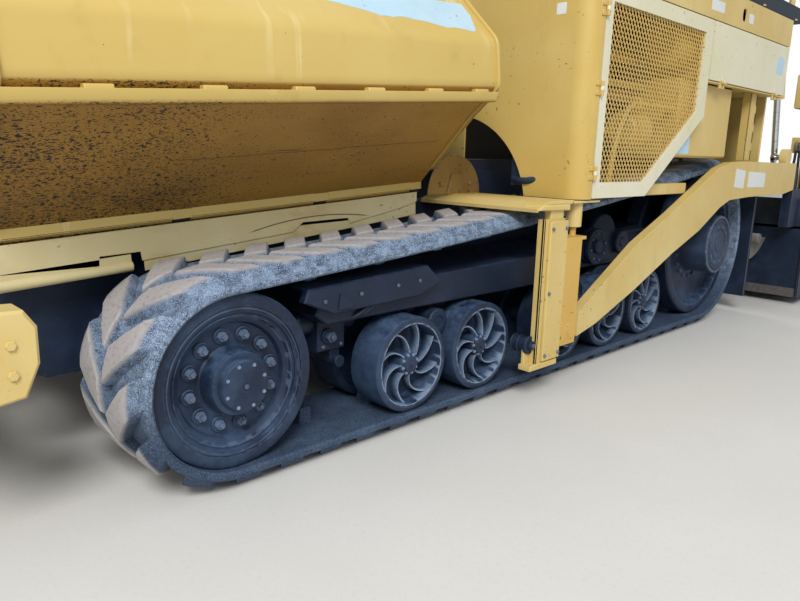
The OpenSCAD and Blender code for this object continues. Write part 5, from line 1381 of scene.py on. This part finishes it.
# Body yellow darkened into painted shade for the belt guard beside the hopper, with heavy grime and chips
OCHRE_PAINTED_SHADE = paint("shaded_ochre", (134, 106, 56), (152, 124, 70), (70, 52, 34), chips=1.6, grime=1.2, seed=3.7)
LENS = paint("lamp_glass", (214, 220, 226), (230, 234, 238), (170, 176, 182), chips=0.1, grime=0.6, rough=0.1,
             seed=4.4)
WING = wing_paint()
PALE_BLUE = paint("pale_blue", (178, 208, 226), (196, 218, 230), (132, 160, 182), chips=0.5, grime=0.4, rough=0.35,
                  seed=1.9)
WHITE = paint("sign_white", (214, 218, 214), (226, 228, 222), (170, 170, 160), chips=0.2, grime=0.5, rough=0.35,
              seed=2.9)
MESH_YELLOW = paint("mesh_yellow", (222, 188, 112), (230, 204, 140), (150, 116, 60), chips=0.6, seed=6.4)
HOSE = dark_metal("hose_black", (26, 28, 32), (70, 70, 72), rust=0.1, rough=0.6, seed=5.5)


def vinyl():
    """Black seat vinyl, a fine crushed grain, darker mottling, and dust on its upper faces."""
    f = Finish("seat_vinyl", (34, 34, 37), 0.5, specular=0.35)
    f.coat(f.step(f.noise(4, 4, 0.6), 0.42, 0.72, 0, 0.5), (52, 51, 52), 0.62)
    f.coat(f.both(f.step(f.facing(2), 0.4, 1.0), f.step(f.noise(14, 5, 0.7), 0.45, 0.7, 0, 0.5)), (92, 88, 82), 0.8)
    f.relief(f.cells(260), 0.0004)
    f.relief(f.noise(9, 3, 0.5), 0.003)
    return f.done()


VINYL = vinyl()

make_belts()
make_wheels()
make_meshes()
make_wings()
make_plates()
make_posts()
make_skirts()
make_beam_ends()
make_track_frames()
make_sides()
make_hood()
make_deck()
make_stations()
make_canopy()
make_augers()
make_screed_parts()
make_seats()
make_cables()

SLOTS = {s["node"]: s["material_slot"] for s in frame["record"]["subparts"]}
LOOKS = {"body_paint": (BODY, EDGE), "slide_paint": (ORANGE, EDGE), "undercarriage": (UNDER, EDGE_DARK),
         "dark_paint": (DARK, EDGE_DARK), "engine_paint": (ENGINE, EDGE_DARK), "belt_rubber": (BELT, BELT),
         "bare_steel": (STEEL, STEEL), "bright_rod": (ROD, ROD), "dark_plastic": (PLASTIC, PLASTIC)}
# Hatches and doors are cream; the front panels take the body yellow darkened into painted shade
SPECIAL = {side + part: (colour, EDGE) for side in ("left_", "right_")
           for part, colour in (("hatch", CREAM), ("door", CREAM), ("front_panel", FRONT_PAINTED_SHADE))}
for node, slot_name in SLOTS.items():
    if not frame["nodes"][node].hide_render:
        softened(node, *SPECIAL.get(node, LOOKS[slot_name]))


# Camera, floor and light

def aim_camera():
    """The camera where the photograph's was: its place, heading, tilt and roll come from the wheels and the seams."""
    place, focal_px, image_px, sensor_mm = (3.106, -3.478, 1.105), 688.8, 800, 36.0
    yaw, pitch, roll = np.radians((44.55, 12.155, 1.545))
    ahead = Vector((-math.cos(yaw) * math.cos(pitch), math.sin(yaw) * math.cos(pitch), -math.sin(pitch)))
    right = ahead.cross(Vector((0, 0, 1))).normalized()
    up = right.cross(ahead)
    side = math.cos(roll) * right + math.sin(roll) * up
    top = math.cos(roll) * up - math.sin(roll) * right
    camera = bpy.data.objects.new("photo_camera", bpy.data.cameras.new("photo_camera"))
    bpy.context.scene.collection.objects.link(camera)
    turn = Matrix((side, top, -ahead)).transposed().to_4x4()
    camera.matrix_world = Matrix.Translation(place) @ turn
    camera.data.sensor_width, camera.data.lens = sensor_mm, focal_px / image_px * sensor_mm
    camera.data.clip_end = 200
    bpy.context.scene.camera = camera


def lay_floor():
    """A wide pale disc with fine grey grain."""
    f = Finish("floor", (214, 212, 208), 0.9, specular=0.1)
    f.coat(f.step(f.noise(1.2, 4, 0.6), 0.4, 0.7, 0, 0.4), (222, 220, 217))
    f.coat(f.step(f.noise(60, 3, 0.7), 0.5, 0.7, 0, 0.3), (200, 198, 194))
    r = np.array([0, 6, 20, 60.0])
    a = np.linspace(0, 2 * np.pi, 64, endpoint=False)
    piece = Piece()
    piece.skin(np.stack([r[:, None] * np.cos(a), r[:, None] * np.sin(a), 0 * r[:, None] * a - 0.0005], -1),
               around=True)
    mesh = piece.mesh("floor")
    mesh.materials.append(f.done())
    floor = bpy.data.objects.new("floor", mesh)
    bpy.context.scene.collection.objects.link(floor)


def soft_light(name, place, target, size, power, tint=(1, 1, 1)):
    """A round lamp at a place, aimed at a target."""
    lamp = bpy.data.lights.new(name, "AREA")
    lamp.shape, lamp.size, lamp.energy, lamp.color = "DISK", size, power, tint
    thing = bpy.data.objects.new(name, lamp)
    thing.location = place
    thing.rotation_euler = (Vector(place) - Vector(target)).to_track_quat("Z", "Y").to_euler()
    bpy.context.scene.collection.objects.link(thing)


def light_world():
    """Even white light from all around, and a white ground behind the object where the camera looks past it."""
    world = bpy.data.worlds.new("studio")
    bpy.context.scene.world = world
    world.use_nodes = True
    tree = world.node_tree
    tree.nodes.clear()
    out = tree.nodes.new("ShaderNodeOutputWorld")
    pick = tree.nodes.new("ShaderNodeMixShader")
    fill, plain = tree.nodes.new("ShaderNodeBackground"), tree.nodes.new("ShaderNodeBackground")
    fill.inputs["Color"].default_value, fill.inputs["Strength"].default_value = (0.90, 0.95, 1.0, 1), 0.62
    plain.inputs["Color"].default_value, plain.inputs["Strength"].default_value = (1, 1, 1, 1), 1.0
    rays = tree.nodes.new("ShaderNodeLightPath")
    either = tree.nodes.new("ShaderNodeMath")
    either.operation = "MAXIMUM"
    tree.links.new(rays.outputs["Is Camera Ray"], either.inputs[0])
    tree.links.new(rays.outputs["Is Transmission Ray"], either.inputs[1])
    tree.links.new(either.outputs[0], pick.inputs[0])
    tree.links.new(fill.outputs[0], pick.inputs[1])
    tree.links.new(plain.outputs[0], pick.inputs[2])
    tree.links.new(pick.outputs[0], out.inputs["Surface"])


aim_camera()
lay_floor()
light_world()
soft_light("key", (7.8, -8.0, 8.5), (0.8, -0.5, 1.0), 5.0, 1230, (1.0, 0.99, 0.97))
soft_light("fill", (-8.0, 5.0, 8.0), (0, 0, 1.0), 7.0, 500)

scene = bpy.context.scene
scene.view_settings.view_transform = "Standard"
